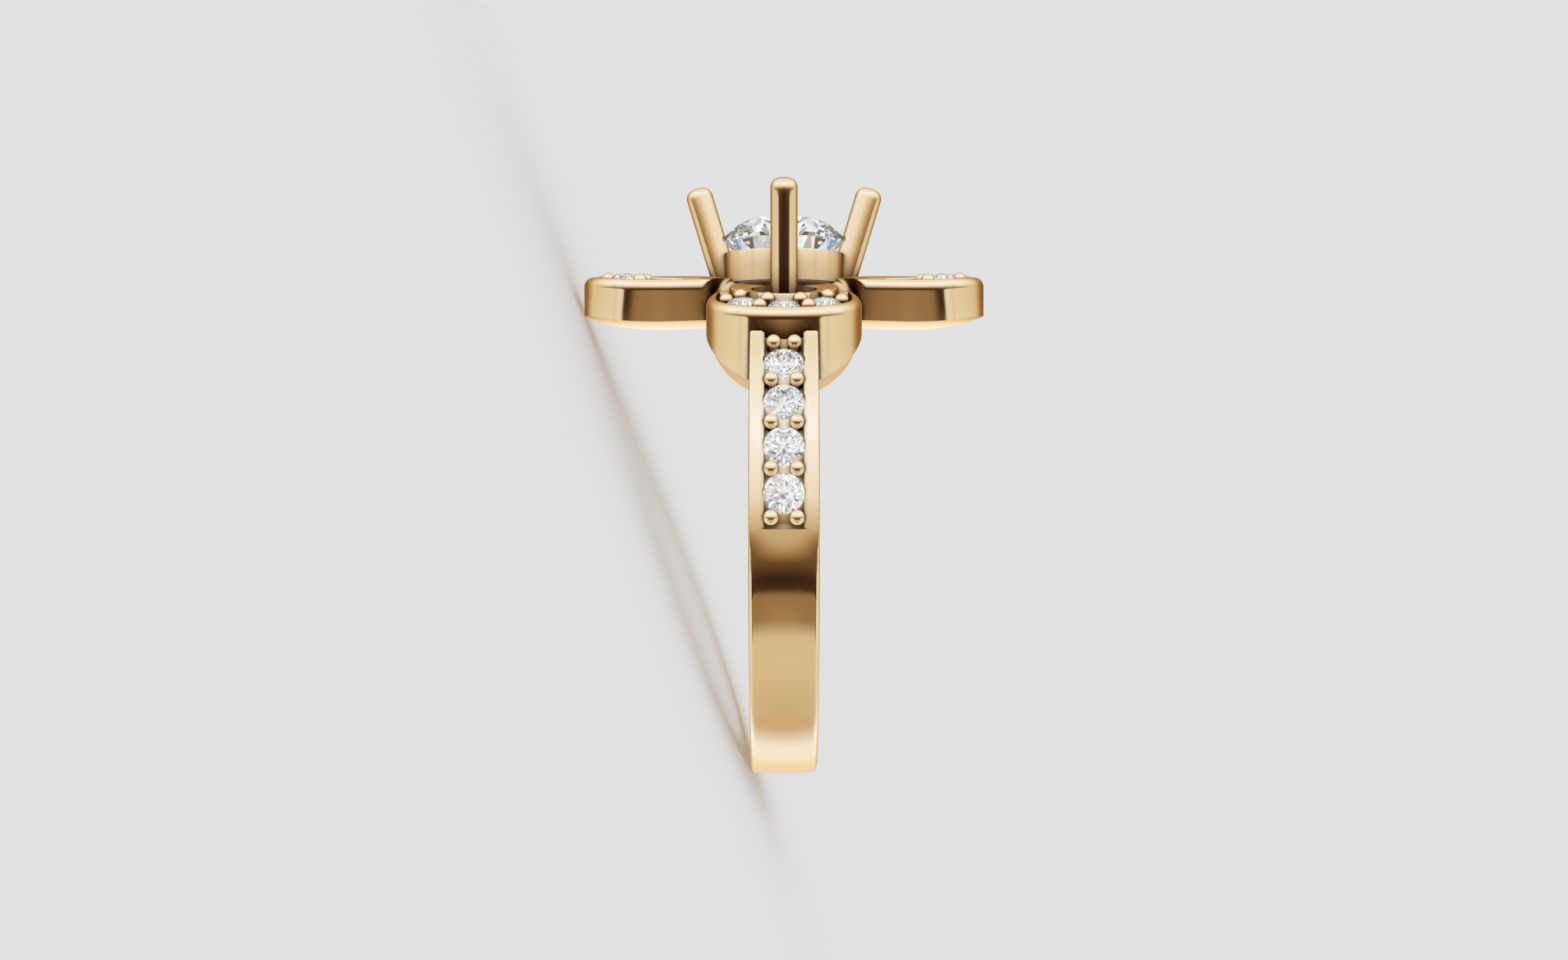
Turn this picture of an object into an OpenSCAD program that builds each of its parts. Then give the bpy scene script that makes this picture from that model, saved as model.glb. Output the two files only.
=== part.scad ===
// Yellow gold ring: one round stone on four long prongs, above a flower of four set petals,
// with a short row of channel set stones down each shoulder. Millimetres.
//
// The ring is drawn standing, with the finger along X, the front shoulder at -Y and the
// centre stone up, and its origin at the middle of the finger hole. The last module lays it
// on its side, as a loose ring rests, on the tip of the left petal and the edge of the shank.

/* [Shank] */
// Radius of the finger hole
finger_r = 8.45; // [8.2:0.05:8.6]
// Width of the shank along the finger
shank_w = 2.72; // [2.6:0.02:2.9]
// Thickness of the shank at the bottom
shank_t = 1.83; // [1.6:0.01:2]
// How far the outer circle is raised, which thickens the shoulders
shank_rise = 0.25; // [0.2:0.01:0.3]
// Height of the crown across the outer face
shank_crown = 0.06; // [0.02:0.01:0.1]
// Radius of the worn edges
edge_r = 0.2; // [0.1:0.01:0.25]

/* [Shoulder channel] */
// Width of the channel between its two rails
channel_w = 1.78; // [1.7:0.01:1.85]
// Depth of the channel below the rails
channel_depth = 0.45; // [0.35:0.01:0.55]
// Angle above the level of the finger at which the channel begins
channel_start = 0.3; // [0:0.1:0.6]
// Stones in each channel
shoulder_stones = 4; // [2:1:4]
// Diameter of a shoulder stone
shoulder_stone_d = 1.6; // [1.4:0.01:1.65]
// Angle of the lowest stone
shoulder_first = 7.95; // [7.8:0.05:8.2]
// Angle from one stone to the next
shoulder_step = 10.45; // [10.35:0.05:10.55]

/* [Flower] */
// Radius of the flower's underside, round the finger
flower_under_r = 9.17; // [9:0.01:9.3]
// Radius of the stones' level in the side petals, round the finger
flower_top_r = 10.83; // [10.78:0.01:10.9]
// Radius of the flatter curve that the side petals' rims follow
rim_curve_r = 13.67; // [13.4:0.01:14]
// Height of the side petals' rims above the finger's axis
rim_crest = 10.77; // [10.72:0.01:10.8]
// Angle by which the flat front and back petals lean out
front_lean = 12.7; // [12:0.1:13.5]
// Height of a front petal's rim beside its eye, above the finger's axis
front_rim_z = 9.79; // [9.7:0.01:9.85]
// Height of the raised ground round a front petal's eye above its rim
front_ring_proud = 0.27; // [0.2:0.01:0.3]
// Distance from the middle to the eye of a side petal
side_eye = 5.1; // [5:0.05:5.2]
// Distance from the middle to the eye of a front or back petal
front_eye = 3.3; // [3.25:0.05:3.4]
// Radius of the eye of a petal
eye_r = 1.36; // [1.2:0.01:1.4]
// Width of the raised ground round the eye, at the petal's end
eye_ring = 0.24; // [0.2:0.01:0.26]
// How far the round of that raised ground is set back towards the middle
ground_back = 0.67; // [0.6:0.01:0.7]
// Width of the rim of a petal
petal_rim = 0.38; // [0.3:0.01:0.4]
// Depth of the dish of a petal below its rim
dish_depth = 0.45; // [0.35:0.01:0.5]
// Diameter of a petal stone
petal_stone_d = 1.3; // [1.2:0.01:1.32]
// Distance from the eye's middle to a petal stone's middle
petal_stone_out = 2.3; // [2.28:0.01:2.34]
// Angle between the stones of a petal, seen from the eye
petal_stone_step = 46; // [45:1:48]

/* [Beads] */
// Radius of the post of a bead
bead_post_r = 0.27; // [0.24:0.01:0.28]
// Radius of the ball on the post
bead_ball_r = 0.3; // [0.29:0.01:0.31]
// Height of the top of a shoulder bead above the rails
rail_bead_proud = 0.24; // [0.18:0.01:0.28]
// Height of the top of an outer petal bead above the rim
rim_bead_proud = 0.2; // [0.14:0.01:0.24]
// Height of the top of an inner bead above the ground round the eye, in a side petal
side_bead_proud = 0.13; // [0.1:0.01:0.2]
// Height of the top of an inner bead above the ground round the eye, in a front petal
front_bead_proud = 0.08; // [0.06:0.01:0.12]
// Distance from the middle of a channel to a bead
bead_side = 0.5; // [0.49:0.01:0.52]
// Distance from the eye's middle to the outer beads of a petal
bead_outer = 2.52; // [2.5:0.01:2.55]
// Distance from the eye's middle to the two middle inner beads of a petal
bead_inner = 1.7; // [1.66:0.01:1.76]
// Distance from the eye's middle to the two end inner beads of a petal
bead_inner_end = 1.9; // [1.84:0.01:1.94]

/* [Crown] */
// Outer radius of the collar
collar_r = 2.57; // [2.5:0.01:2.65]
// Thickness of the collar's wall
collar_wall = 0.6; // [0.5:0.01:0.65]
// Height of the collar's foot above the finger's axis
collar_foot = 10.5; // [10.4:0.01:10.6]
// Height of the collar's top above the finger's axis
collar_top = 11.83; // [11.7:0.01:11.85]
// Diameter of the centre stone
centre_stone_d = 5.22; // [5.1:0.01:5.3]
// Height of the centre stone's girdle above the finger's axis
girdle_z = 12.51; // [12.45:0.01:12.6]
// Radius of a prong
prong_r = 0.56; // [0.5:0.01:0.6]
// Distance of a prong from the middle at the flower's top
prong_out = 2.57; // [2.5:0.01:2.65]
// Outward lean of a prong
prong_lean = 16.9; // [16:0.1:18]
// Height of the tip of a prong above the finger's axis
prong_tip = 14.63; // [14.2:0.01:15]

/* [Fit] */
// Clear space between a stone and its setting
stone_gap = 0.04; // [0.03:0.005:0.05]

/* [Hidden] */
$fn = 96;
GOLD = [0.84, 0.70, 0.47];
STONE = [0.90, 0.93, 0.97];

// How far a cut, or a piece that is cut to shape, reaches past what it meets
OVER = 2;

// Outer circle of the shank, and its lowest point
shank_out_r = finger_r + shank_t + shank_rise;
shank_low = finger_r + shank_t;
EDGE_STEPS = 3;
CROWN_STEPS = 4;

// Channel: where its floor lies, and the angle at which it runs in under the flower
channel_floor_r = shank_out_r - shank_crown - channel_depth;
CHANNEL_END = 56;

// Angles from the first stone down to the lowest beads and from the last one up to the top
// beads, which are closer together
ROW_BELOW_FIRST = 5.15;
ROW_ABOVE_LAST = 5.6;
TOP_ROW_PINCH = 0.09;

// How deep a bead's post is rooted in the floor that it stands on
POST_ROOT = 0.15;

// Petal outlines: the reach from the eye at an angle from the petal's axis is
// mean + lean cos a + oval cos 2a + square cos 4a
//              mean   lean  oval  square
SIDE_SHAPE  = [3.245, 0.18, 0.04, -0.05];
FRONT_SHAPE = [3.487, 0.227, 0.167, -0.15];
PETAL_POINTS = 48;
PETAL_TURN = 360 / PETAL_POINTS;
BEADS_IN_ARC = 4;

// The round middle that joins the side petals under the collar
MIDDLE_R = 3;

// How far past the eye's middle, towards the ring's middle, the dish of a petal ends
DISH_END = 0.8;

// Size of a block or roller that is wider than the whole ring
ACROSS = 30;

// How far the front petal's blocks reach past the middle, into the back petal's
PAST_MIDDLE = 0.5;

// How far the front and back petals overlap the rest, so that they are one solid with it
JOIN = 0.02;

// Levels of the side petals' dishes and of their rims' curve below the finger's axis
dish_floor_r = flower_top_r - dish_depth;
rim_drop = rim_curve_r - rim_crest;

// Eyes of the front and back petals end in a floor, those of the side petals are open. The
// pocket under the centre stone narrows to the same floor.
EYE_FLOOR = 8.9;
POCKET_FLOOR_R = 0.5;
collar_bore_r = collar_r - collar_wall;

// Round brilliant cut, as shares of the diameter, and its facet angles
TABLE = 0.57;
GIRDLE = 0.03;
CROWN_ANGLE = 34.5;
PAVILION_ANGLE = 40.75;
STAR_REACH = 0.55;
LOWER_REACH = 0.77;
FACET_BULGE = 0.01;

// How deep each stone's girdle lies below the rails or the rim
SHOULDER_SINK = 0.26;
PETAL_SINK = 0.1;

// Feet of the prongs: deeper where they stand in an eye
PRONG_FOOT_SIDE = 9.6;
PRONG_FOOT_FRONT = 8.75;
PRONG_DOME = 1.15;

// Resting tilt: the plane that touches the tip of the left petal and the rounded edge of
// the shank's lowest point
tip_reach = side_eye + petal_reach(SIDE_SHAPE, PETAL_TURN / 2) * cos(PETAL_TURN / 2);
rest_run = tip_reach - (shank_w / 2 - edge_r);
rest_rise = flower_under_r + shank_low - shank_crown - edge_r;
rest_tilt = acos(edge_r / norm([rest_run, rest_rise])) - atan2(rest_rise, rest_run);
rest_lift = (shank_w / 2 - edge_r) * cos(rest_tilt)
    + (shank_low - shank_crown - edge_r) * sin(rest_tilt) + edge_r;

// Ends of the laid ring along X: the dome of the left prong, and the shank's lowest edge
dome_r = prong_r * PRONG_DOME;
dome_z = prong_tip - dome_r;
dome_out = prong_out + (dome_z - flower_top_r) * tan(prong_lean);
left_end = dome_z * cos(rest_tilt) + dome_out * sin(rest_tilt) + dome_r;
right_end = (shank_low - shank_crown - edge_r) * cos(rest_tilt)
    + (shank_w / 2 - edge_r) * sin(rest_tilt) + edge_r;

ENDS = ["front", "back"];
PETALS = ["right", "left", "front", "back"];
SHOULDER_NAMES = [for (e = ENDS) for (i = [1 : shoulder_stones]) str("shoulder_stone_", e, "_", i)];
PETAL_NAMES = [for (p = PETALS) for (i = [1 : 3]) str("petal_stone_", p, "_", i)];

function petal_reach(shape, a) =
    shape[0] + shape[1] * cos(a) + shape[2] * cos(2 * a) + shape[3] * cos(4 * a);

function petal_outline(shape, inset) = [
    for (i = [0 : PETAL_POINTS - 1])
        let (a = (i + 0.5) * PETAL_TURN, r = petal_reach(shape, a) - inset)
        [r * cos(a), r * sin(a)]
];

// Tilt from the top, about the finger, of a point that lies s in front of the middle
function flower_tilt(s) = asin(s / flower_top_r);

// How far the side petals' rims lie above their stones' level, at a tilt about the finger
function rim_rise(tilt) =
    sqrt(pow(rim_curve_r, 2) - pow(rim_drop * sin(tilt), 2)) - rim_drop * cos(tilt) - flower_top_r;

// Puts children on a side petal, at f along the finger and s towards the front
module on_side_petal(f, s) {
    rotate([flower_tilt(s), 0, 0])
        translate([f, 0, flower_top_r])
            children();
}

// Puts children on the flat front petal
module on_front_petal(f, s) {
    translate([f, -front_eye, front_rim_z])
        rotate([front_lean, 0, 0])
            translate([0, (front_eye - s) / cos(front_lean), 0])
                children();
}

// Puts children on the front of the shank's outer face, at an angle above the finger's level
module on_shoulder(angle, f = 0) {
    translate([f, 0, shank_rise])
        rotate([90 - angle, 0, 0])
            translate([0, 0, shank_out_r - shank_crown])
                children();
}

// Repeats children at the front and, turned half round, at the back
module both_ends() {
    children();
    rotate([0, 0, 180]) children();
}

// A round brilliant, table up, with the top of its girdle at z = 0
module brilliant(d) {
    r = d / 2;
    table_r = r * TABLE;
    crown_h = (r - table_r) * tan(CROWN_ANGLE);
    girdle_h = d * GIRDLE;
    pavilion_h = r * tan(PAVILION_ANGLE);
    half = 22.5;
    star_r = table_r * cos(half) + STAR_REACH * (r - table_r * cos(half));
    star_h = crown_h * (r - star_r * cos(half)) / (r - table_r);
    lower_r = r * (1 - LOWER_REACH);
    lower_h = -girdle_h - pavilion_h * (1 - lower_r * cos(half) / r);
    points = concat(
        [for (k = [0 : 7]) [table_r * cos(45 * k), table_r * sin(45 * k), crown_h]],
        [for (k = [0 : 7]) [star_r * cos(45 * k + half), star_r * sin(45 * k + half), star_h]],
        [for (k = [0 : 15]) [r * cos(half * k), r * sin(half * k), 0]],
        [for (k = [0 : 15]) [r * cos(half * k), r * sin(half * k), -girdle_h]],
        [for (k = [0 : 7]) [lower_r * cos(45 * k + half), lower_r * sin(45 * k + half), lower_h]],
        [[0, 0, -girdle_h - pavilion_h]]
    );
    star = 8;
    top = 16;
    bottom = 32;
    lower = 48;
    culet = 56;
    faces = concat(
        [[for (k = [7 : -1 : 0]) k]],
        [for (k = [0 : 7]) [k, (k + 1) % 8, star + k]],
        [for (k = [0 : 7]) [star + (k + 7) % 8, k, star + k, top + 2 * k]],
        [for (k = [0 : 7]) [star + k, top + 2 * k + 1, top + 2 * k]],
        [for (k = [0 : 7]) [star + k, top + (2 * k + 2) % 16, top + 2 * k + 1]],
        [for (k = [0 : 15]) [top + k, top + (k + 1) % 16, bottom + (k + 1) % 16, bottom + k]],
        [for (k = [0 : 7]) [lower + k, bottom + 2 * k, bottom + 2 * k + 1]],
        [for (k = [0 : 7]) [lower + k, bottom + 2 * k + 1, bottom + (2 * k + 2) % 16]],
        [for (k = [0 : 7]) [lower + k, culet, lower + (k + 7) % 8, bottom + 2 * k]]
    );
    polyhedron(points, faces);
}

// The room that a stone of diameter d and its clear space take out of the metal: the cones
// round its facets, moved out by the gap and by as far as the facets' ridges bulge past them
module stone_room(d) {
    r = d / 2;
    crown_h = r * (1 - TABLE) * tan(CROWN_ANGLE);
    girdle_h = d * GIRDLE;
    pavilion_h = r * tan(PAVILION_ANGLE);
    gap = stone_gap + d * FACET_BULGE;
    wide = r + gap;
    low = girdle_h + gap * (1 / cos(PAVILION_ANGLE) - tan(PAVILION_ANGLE));
    high = gap * (1 / cos(CROWN_ANGLE) - tan(CROWN_ANGLE));
    lid = crown_h + gap;
    lid_r = r - (lid - gap / cos(CROWN_ANGLE)) / tan(CROWN_ANGLE);
    rotate_extrude()
        polygon([
            [0, -girdle_h - pavilion_h - gap / cos(PAVILION_ANGLE)],
            [wide, -low],
            [wide, high],
            [lid_r, lid],
            [0, lid]
        ]);
}

// A bead: a ball on a post that rises from a floor at a depth below z = 0, and stands proud
// of z = 0
module bead(depth, proud) {
    root = depth + POST_ROOT;
    ball_z = proud - bead_ball_r;
    translate([0, 0, -root]) cylinder(r = bead_post_r, h = root + ball_z);
    translate([0, 0, ball_z]) sphere(r = bead_ball_r);
}

// The shank's section: the crowned outer face with its two worn edges
function shank_section() =
    let (
        half = shank_w / 2,
        corner = shank_out_r - shank_crown - edge_r,
        flat = half - edge_r
    )
    concat(
        [[finger_r - OVER, -half]],
        [for (i = [0 : EDGE_STEPS - 1]) let (a = 90 * i / EDGE_STEPS)
            [corner + edge_r * sin(a), -flat - edge_r * cos(a)]],
        [for (i = [-CROWN_STEPS : CROWN_STEPS]) let (t = i / CROWN_STEPS)
            [shank_out_r - shank_crown * t * t, flat * t]],
        [for (i = [EDGE_STEPS - 1 : -1 : 0]) let (a = 90 * i / EDGE_STEPS)
            [corner + edge_r * sin(a), flat + edge_r * cos(a)]],
        [[finger_r - OVER, half]]
    );

// Turns a solid of revolution from its own axis to the finger's
module along_finger() {
    rotate([0, 90, 0]) children();
}

module shank_band() {
    translate([0, 0, shank_rise])
        along_finger()
            rotate_extrude()
                polygon(shank_section());
}

// The finger hole, opened out at both edges
module finger_hole() {
    half = shank_w / 2;
    along_finger() {
        cylinder(r = finger_r, h = 3 * shank_w, center = true);
        for (s = [0, 1])
            mirror([0, 0, s])
                translate([0, 0, half - edge_r])
                    cylinder(r1 = finger_r, r2 = finger_r + 2 * edge_r, h = 2 * edge_r);
    }
}

// One channel, cut down the front shoulder
module shoulder_channel() {
    translate([0, 0, shank_rise])
        rotate([0, -90, 0])
            rotate([0, 0, -90 + channel_start])
                rotate_extrude(angle = CHANNEL_END - channel_start)
                    translate([channel_floor_r, -channel_w / 2])
                        square([OVER, channel_w]);
}

function shoulder_angle(i) = shoulder_first + shoulder_step * (i - 1);

function bead_row_angle(i) =
    i == 0 ? shoulder_first - ROW_BELOW_FIRST
    : i == shoulder_stones ? shoulder_angle(shoulder_stones) + ROW_ABOVE_LAST
    : shoulder_angle(i) + shoulder_step / 2;

module shoulder_beads() {
    for (i = [0 : shoulder_stones])
        for (side = [-1, 1]) {
            pinch = i == shoulder_stones ? TOP_ROW_PINCH : 0;
            on_shoulder(bead_row_angle(i), side * (bead_side - pinch)) bead(channel_depth, rail_bead_proud);
        }
}

module shank() {
    difference() {
        shank_band();
        finger_hole();
        both_ends() shoulder_channel();
    }
    both_ends() shoulder_beads();
}

// Puts children at the eye of each petal, with their X axis along the petal
module side_petals() {
    for (turn = [0, 180]) rotate([0, 0, turn]) translate([side_eye, 0, 0]) children();
}

module front_petals() {
    for (turn = [-90, 90]) rotate([0, 0, turn]) translate([front_eye, 0, 0]) children();
}

// Everything within a radius of the finger's axis
module round_finger(r) {
    along_finger() cylinder(r = r, h = ACROSS, center = true);
}

module side_blocks(inset) {
    side_petals() linear_extrude(ACROSS) polygon(petal_outline(SIDE_SHAPE, inset));
}

module front_blocks(inset) {
    front_petals() linear_extrude(ACROSS) polygon(petal_outline(FRONT_SHAPE, inset));
}

// The dishes seen from above: inside the rims, and only round the outer half of each petal
module side_dish_blocks() {
    side_petals()
        difference() {
            linear_extrude(ACROSS) polygon(petal_outline(SIDE_SHAPE, petal_rim));
            past_dish();
        }
}

// The same for the front and back petals, grown on all sides
module front_dish_blocks(grown) {
    front_petals()
        difference() {
            linear_extrude(ACROSS) polygon(petal_outline(FRONT_SHAPE, petal_rim - grown));
            translate([-grown, 0, 0]) past_dish();
        }
}

// Everything below the front and back petals' rims, raised by a lift
module under_front_rims(lift) {
    front_petals()
        translate([0, 0, front_rim_z])
            rotate([0, front_lean, 0])
                translate([-front_eye - PAST_MIDDLE, -ACROSS / 2, lift - ACROSS])
                    cube(ACROSS);
}

// The raised ground round a petal's eye, with the eye at the origin
module eye_ground() {
    translate([-ground_back, 0, 0]) cylinder(r = eye_r + eye_ring + ground_back, h = ACROSS);
}

// Everything from where a petal's dish ends to the ring's middle and beyond it, with the eye
// at the origin
module past_dish() {
    translate([-ACROSS - DISH_END, -ACROSS / 2, 0]) cube(ACROSS);
}

// The side petals with their dishes and the raised grounds round their eyes. The dishes leave
// a rim along the front petals too.
module side_plates() {
    difference() {
        intersection() {
            union() {
                side_blocks(0);
                cylinder(r = MIDDLE_R, h = ACROSS);
            }
            translate([0, 0, -rim_drop]) round_finger(rim_curve_r);
        }
        difference() {
            side_dish_blocks();
            round_finger(dish_floor_r);
            front_blocks(-petal_rim);
        }
    }
    intersection() {
        side_petals() eye_ground();
        round_finger(flower_top_r);
    }
}

// The room above the front and back petals' rims and in their dishes, at an inset inside the
// petals themselves
module front_room(inset) {
    difference() {
        front_blocks(inset);
        under_front_rims(-inset);
    }
    difference() {
        front_dish_blocks(inset);
        under_front_rims(-dish_depth - inset);
    }
}

// The flat front and back petals with their dishes and the raised grounds round their eyes
module front_plates() {
    difference() {
        intersection() {
            front_blocks(0);
            under_front_rims(0);
        }
        difference() {
            front_dish_blocks(0);
            under_front_rims(-dish_depth);
        }
    }
    intersection() {
        front_petals() eye_ground();
        under_front_rims(front_ring_proud);
    }
}

// Shank and petals together. The front and back petals are trimmed out of the rest a little
// inside their own walls, so that the pieces join.
module body() {
    difference() {
        union() {
            shank();
            difference() {
                side_plates();
                round_finger(flower_under_r);
            }
        }
        front_room(JOIN);
    }
    difference() {
        front_plates();
        round_finger(flower_under_r);
    }
}

// Eyes are cut last, because those at the front and back reach into the shank
module eye_cuts() {
    side_petals() cylinder(r = eye_r, h = ACROSS);
    front_petals() translate([0, 0, EYE_FLOOR]) cylinder(r = eye_r, h = ACROSS);
}

// Where an angle and distance from a petal's eye lies: along the finger and to the front.
// Petals 0 and 1 are the right and left ones, 2 and 3 the front and back ones.
function petal_place(petal, angle, reach) =
    petal < 2
    ? [side_eye + reach * cos(angle), reach * sin(angle)]
    : [reach * sin(angle), front_eye + reach * cos(angle)];

module in_petal(petal, angle, reach) {
    place = petal_place(petal, angle, reach);
    rotate([0, 0, 180 * (petal % 2)]) {
        if (petal < 2) on_side_petal(place[0], place[1]) children();
        if (petal > 1) on_front_petal(place[0], place[1]) children();
    }
}

module petal_beads(petal) {
    inner_proud = petal < 2 ? side_bead_proud : front_ring_proud + front_bead_proud;
    for (i = [0 : BEADS_IN_ARC - 1]) {
        angle = petal_stone_step * (i - (BEADS_IN_ARC - 1) / 2);
        tilt = flower_tilt(petal_place(petal, angle, bead_outer)[1]);
        rise = petal < 2 ? rim_rise(tilt) : 0;
        inner = abs(angle) > petal_stone_step ? bead_inner_end : bead_inner;
        in_petal(petal, angle, bead_outer)
            translate([0, 0, rise]) bead(dish_depth + rise, rim_bead_proud);
        in_petal(petal, angle, inner) bead(dish_depth, inner_proud);
    }
}

// The round collar under the centre stone
module collar() {
    difference() {
        translate([0, 0, collar_foot]) cylinder(r = collar_r, h = collar_top - collar_foot);
        cylinder(r = collar_bore_r, h = collar_top + OVER);
    }
}

// The hollow in the petals below the collar, for the centre stone's point
module pocket() {
    depth = collar_foot - EYE_FLOOR;
    translate([0, 0, EYE_FLOOR]) cylinder(r1 = POCKET_FLOOR_R, r2 = collar_bore_r, h = depth);
    translate([0, 0, collar_foot]) cylinder(r = collar_bore_r, h = OVER);
}

// A prong that leans out along X, from a foot at a given height
module prong(foot) {
    length = (dome_z - foot) / cos(prong_lean);
    base_out = prong_out + (foot - flower_top_r) * tan(prong_lean);
    dome_sink = sqrt(dome_r * dome_r - prong_r * prong_r);
    translate([base_out, 0, foot])
        rotate([0, prong_lean, 0]) {
            cylinder(r = prong_r, h = length + dome_sink / 2);
            translate([0, 0, length]) intersection() {
                sphere(r = dome_r);
                cylinder(r = prong_r, h = OVER);
            }
        }
}

module prongs() {
    for (turn = [0, 180]) {
        rotate([0, 0, turn]) prong(PRONG_FOOT_SIDE);
        rotate([0, 0, turn + 90]) prong(PRONG_FOOT_FRONT);
    }
}

module place_centre_stone() {
    translate([0, 0, girdle_z]) children();
}

module place_shoulder_stone(end, i) {
    rotate([0, 0, 180 * end])
        on_shoulder(shoulder_angle(i))
            translate([0, 0, -SHOULDER_SINK]) children();
}

module place_petal_stone(petal, i) {
    in_petal(petal, petal_stone_step * (i - 2), petal_stone_out)
        translate([0, 0, -PETAL_SINK]) children();
}

// Lays the ring on its side
module laid() {
    translate([(left_end - right_end) / 2, 0, rest_lift])
        rotate([0, rest_tilt - 90, 0])
            children();
}

module gold_mount() {
    color(GOLD) laid()
        difference() {
            union() {
                difference() {
                    body();
                    eye_cuts();
                    pocket();
                }
                collar();
                for (petal = [0 : 3]) petal_beads(petal);
                prongs();
            }
            place_centre_stone() stone_room(centre_stone_d);
            for (end = [0, 1]) for (i = [1 : shoulder_stones])
                place_shoulder_stone(end, i) stone_room(shoulder_stone_d);
            for (petal = [0 : 3]) for (i = [1 : 3])
                place_petal_stone(petal, i) stone_room(petal_stone_d);
        }
}

module centre_stone() {
    color(STONE) laid() place_centre_stone() brilliant(centre_stone_d);
}

module shoulder_stone(end, i) {
    color(STONE) laid() place_shoulder_stone(end, i) brilliant(shoulder_stone_d);
}

module petal_stone(petal, i) {
    color(STONE) laid() place_petal_stone(petal, i) brilliant(petal_stone_d);
}

gold_mount();
centre_stone();
for (end = [0, 1]) for (i = [1 : shoulder_stones])
    shoulder_stone(end, i);
for (petal = [0 : 3]) for (i = [1 : 3])
    petal_stone(petal, i);
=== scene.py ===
"""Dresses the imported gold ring: a round stone on four prongs above a flower of four petals.

The metal is rebuilt with its worn edges, stone seats and beads, and stands for the plain
solid. The stones keep their own solids. All sizes are millimetres on the standing ring: the
finger along X, the front shoulder at -Y, the centre stone up, the middle of the finger hole
at the origin. The ring is then laid on its side, as a loose ring rests.
"""

import logging
import math
from dataclasses import dataclass, field
from enum import Enum
from typing import Any, Callable, Optional, Sequence, Union

import bpy
from mathutils import Matrix, Vector


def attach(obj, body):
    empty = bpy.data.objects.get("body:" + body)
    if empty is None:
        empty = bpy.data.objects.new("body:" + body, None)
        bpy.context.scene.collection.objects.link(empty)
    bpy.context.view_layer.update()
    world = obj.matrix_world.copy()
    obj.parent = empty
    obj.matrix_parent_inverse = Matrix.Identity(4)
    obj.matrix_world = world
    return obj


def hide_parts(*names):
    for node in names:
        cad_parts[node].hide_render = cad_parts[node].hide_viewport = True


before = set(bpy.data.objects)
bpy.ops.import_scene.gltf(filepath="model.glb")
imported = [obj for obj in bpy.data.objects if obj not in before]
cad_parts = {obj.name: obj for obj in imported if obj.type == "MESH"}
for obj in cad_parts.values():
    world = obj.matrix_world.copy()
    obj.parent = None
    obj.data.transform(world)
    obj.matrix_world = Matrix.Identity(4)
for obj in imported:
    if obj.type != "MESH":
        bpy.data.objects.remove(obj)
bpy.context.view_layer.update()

Point = tuple[float, float, float]
Face = tuple[int, ...]
Colour = tuple[float, float, float]
Station = tuple[float, float]
Span = tuple[float, float]

log = logging.getLogger("ring")

MOUNT = "gold_mount"
BODY = "root"
MILLIMETRE = 0.001
SHARP_EDGE = math.radians(32)
SIDE_EYE = 5.1
FRONT_EYE = 3.3
SEARCH_REACH = 1.2
SEARCH_STEPS = 26


def blend_between(low: float, high: float, value: float) -> float:
    """Eases from 0 at low to 1 at high.

    Args:
        low: Where the ease begins.
        high: Where it ends.
        value: The place to read.

    Returns:
        The share, from 0 to 1.
    """
    share = min(1.0, max(0.0, (value - low) / (high - low)))
    return share * share * (3 - 2 * share)


def mix(first: float, second: float, share: float) -> float:
    """Gives the value that lies a share of the way from first to second."""
    return first + (second - first) * share


def quarter(steps: int) -> list[float]:
    """Gives the angles of a quarter turn in steps, both ends too."""
    return [math.pi / 2 * k / steps for k in range(steps + 1)]


def linear(channel: int) -> float:
    """Gives the light behind one screen channel, from 0 to 255."""
    value = channel / 255
    return value / 12.92 if value <= 0.04045 else ((value + 0.055) / 1.055) ** 2.4


class Side(Enum):
    """The four sides of the ring, with the turn that carries the first of a kind to each."""

    RIGHT = ("right", 0.0)
    LEFT = ("left", 180.0)
    FRONT = ("front", 0.0)
    BACK = ("back", 180.0)

    @property
    def label(self) -> str:
        """Gives the side's name in the names of pieces."""
        return self.value[0]

    @property
    def turn(self) -> Matrix:
        """Gives the turn about the upright axis."""
        return Matrix.Rotation(math.radians(self.value[1]), 4, "Z")


@dataclass(frozen=True)
class Stand:
    """Where the standing ring lies in the frame.

    Attributes:
        tilt: Angle between the finger's axis and the upright, once the ring is laid down.
        centre: Middle of the finger hole in the frame.
    """

    tilt: float = 20.3963
    centre: Point = (2.49346, 0.0, 4.77936)

    @property
    def along(self) -> Vector:
        """Gives the finger's direction in the frame."""
        angle = math.radians(self.tilt)
        return Vector((math.sin(angle), 0.0, math.cos(angle)))

    @property
    def up(self) -> Vector:
        """Gives the centre stone's direction in the frame."""
        return self.along.cross(Vector((0.0, 1.0, 0.0)))

    @property
    def matrix(self) -> Matrix:
        """Gives the move from the standing ring's millimetres to the frame's metres."""
        turned = Matrix((self.along, Vector((0.0, 1.0, 0.0)), self.up)).transposed().to_4x4()
        place = Matrix.Translation(Vector(self.centre) * MILLIMETRE)
        return place @ turned @ Matrix.Scale(MILLIMETRE, 4)


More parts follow.
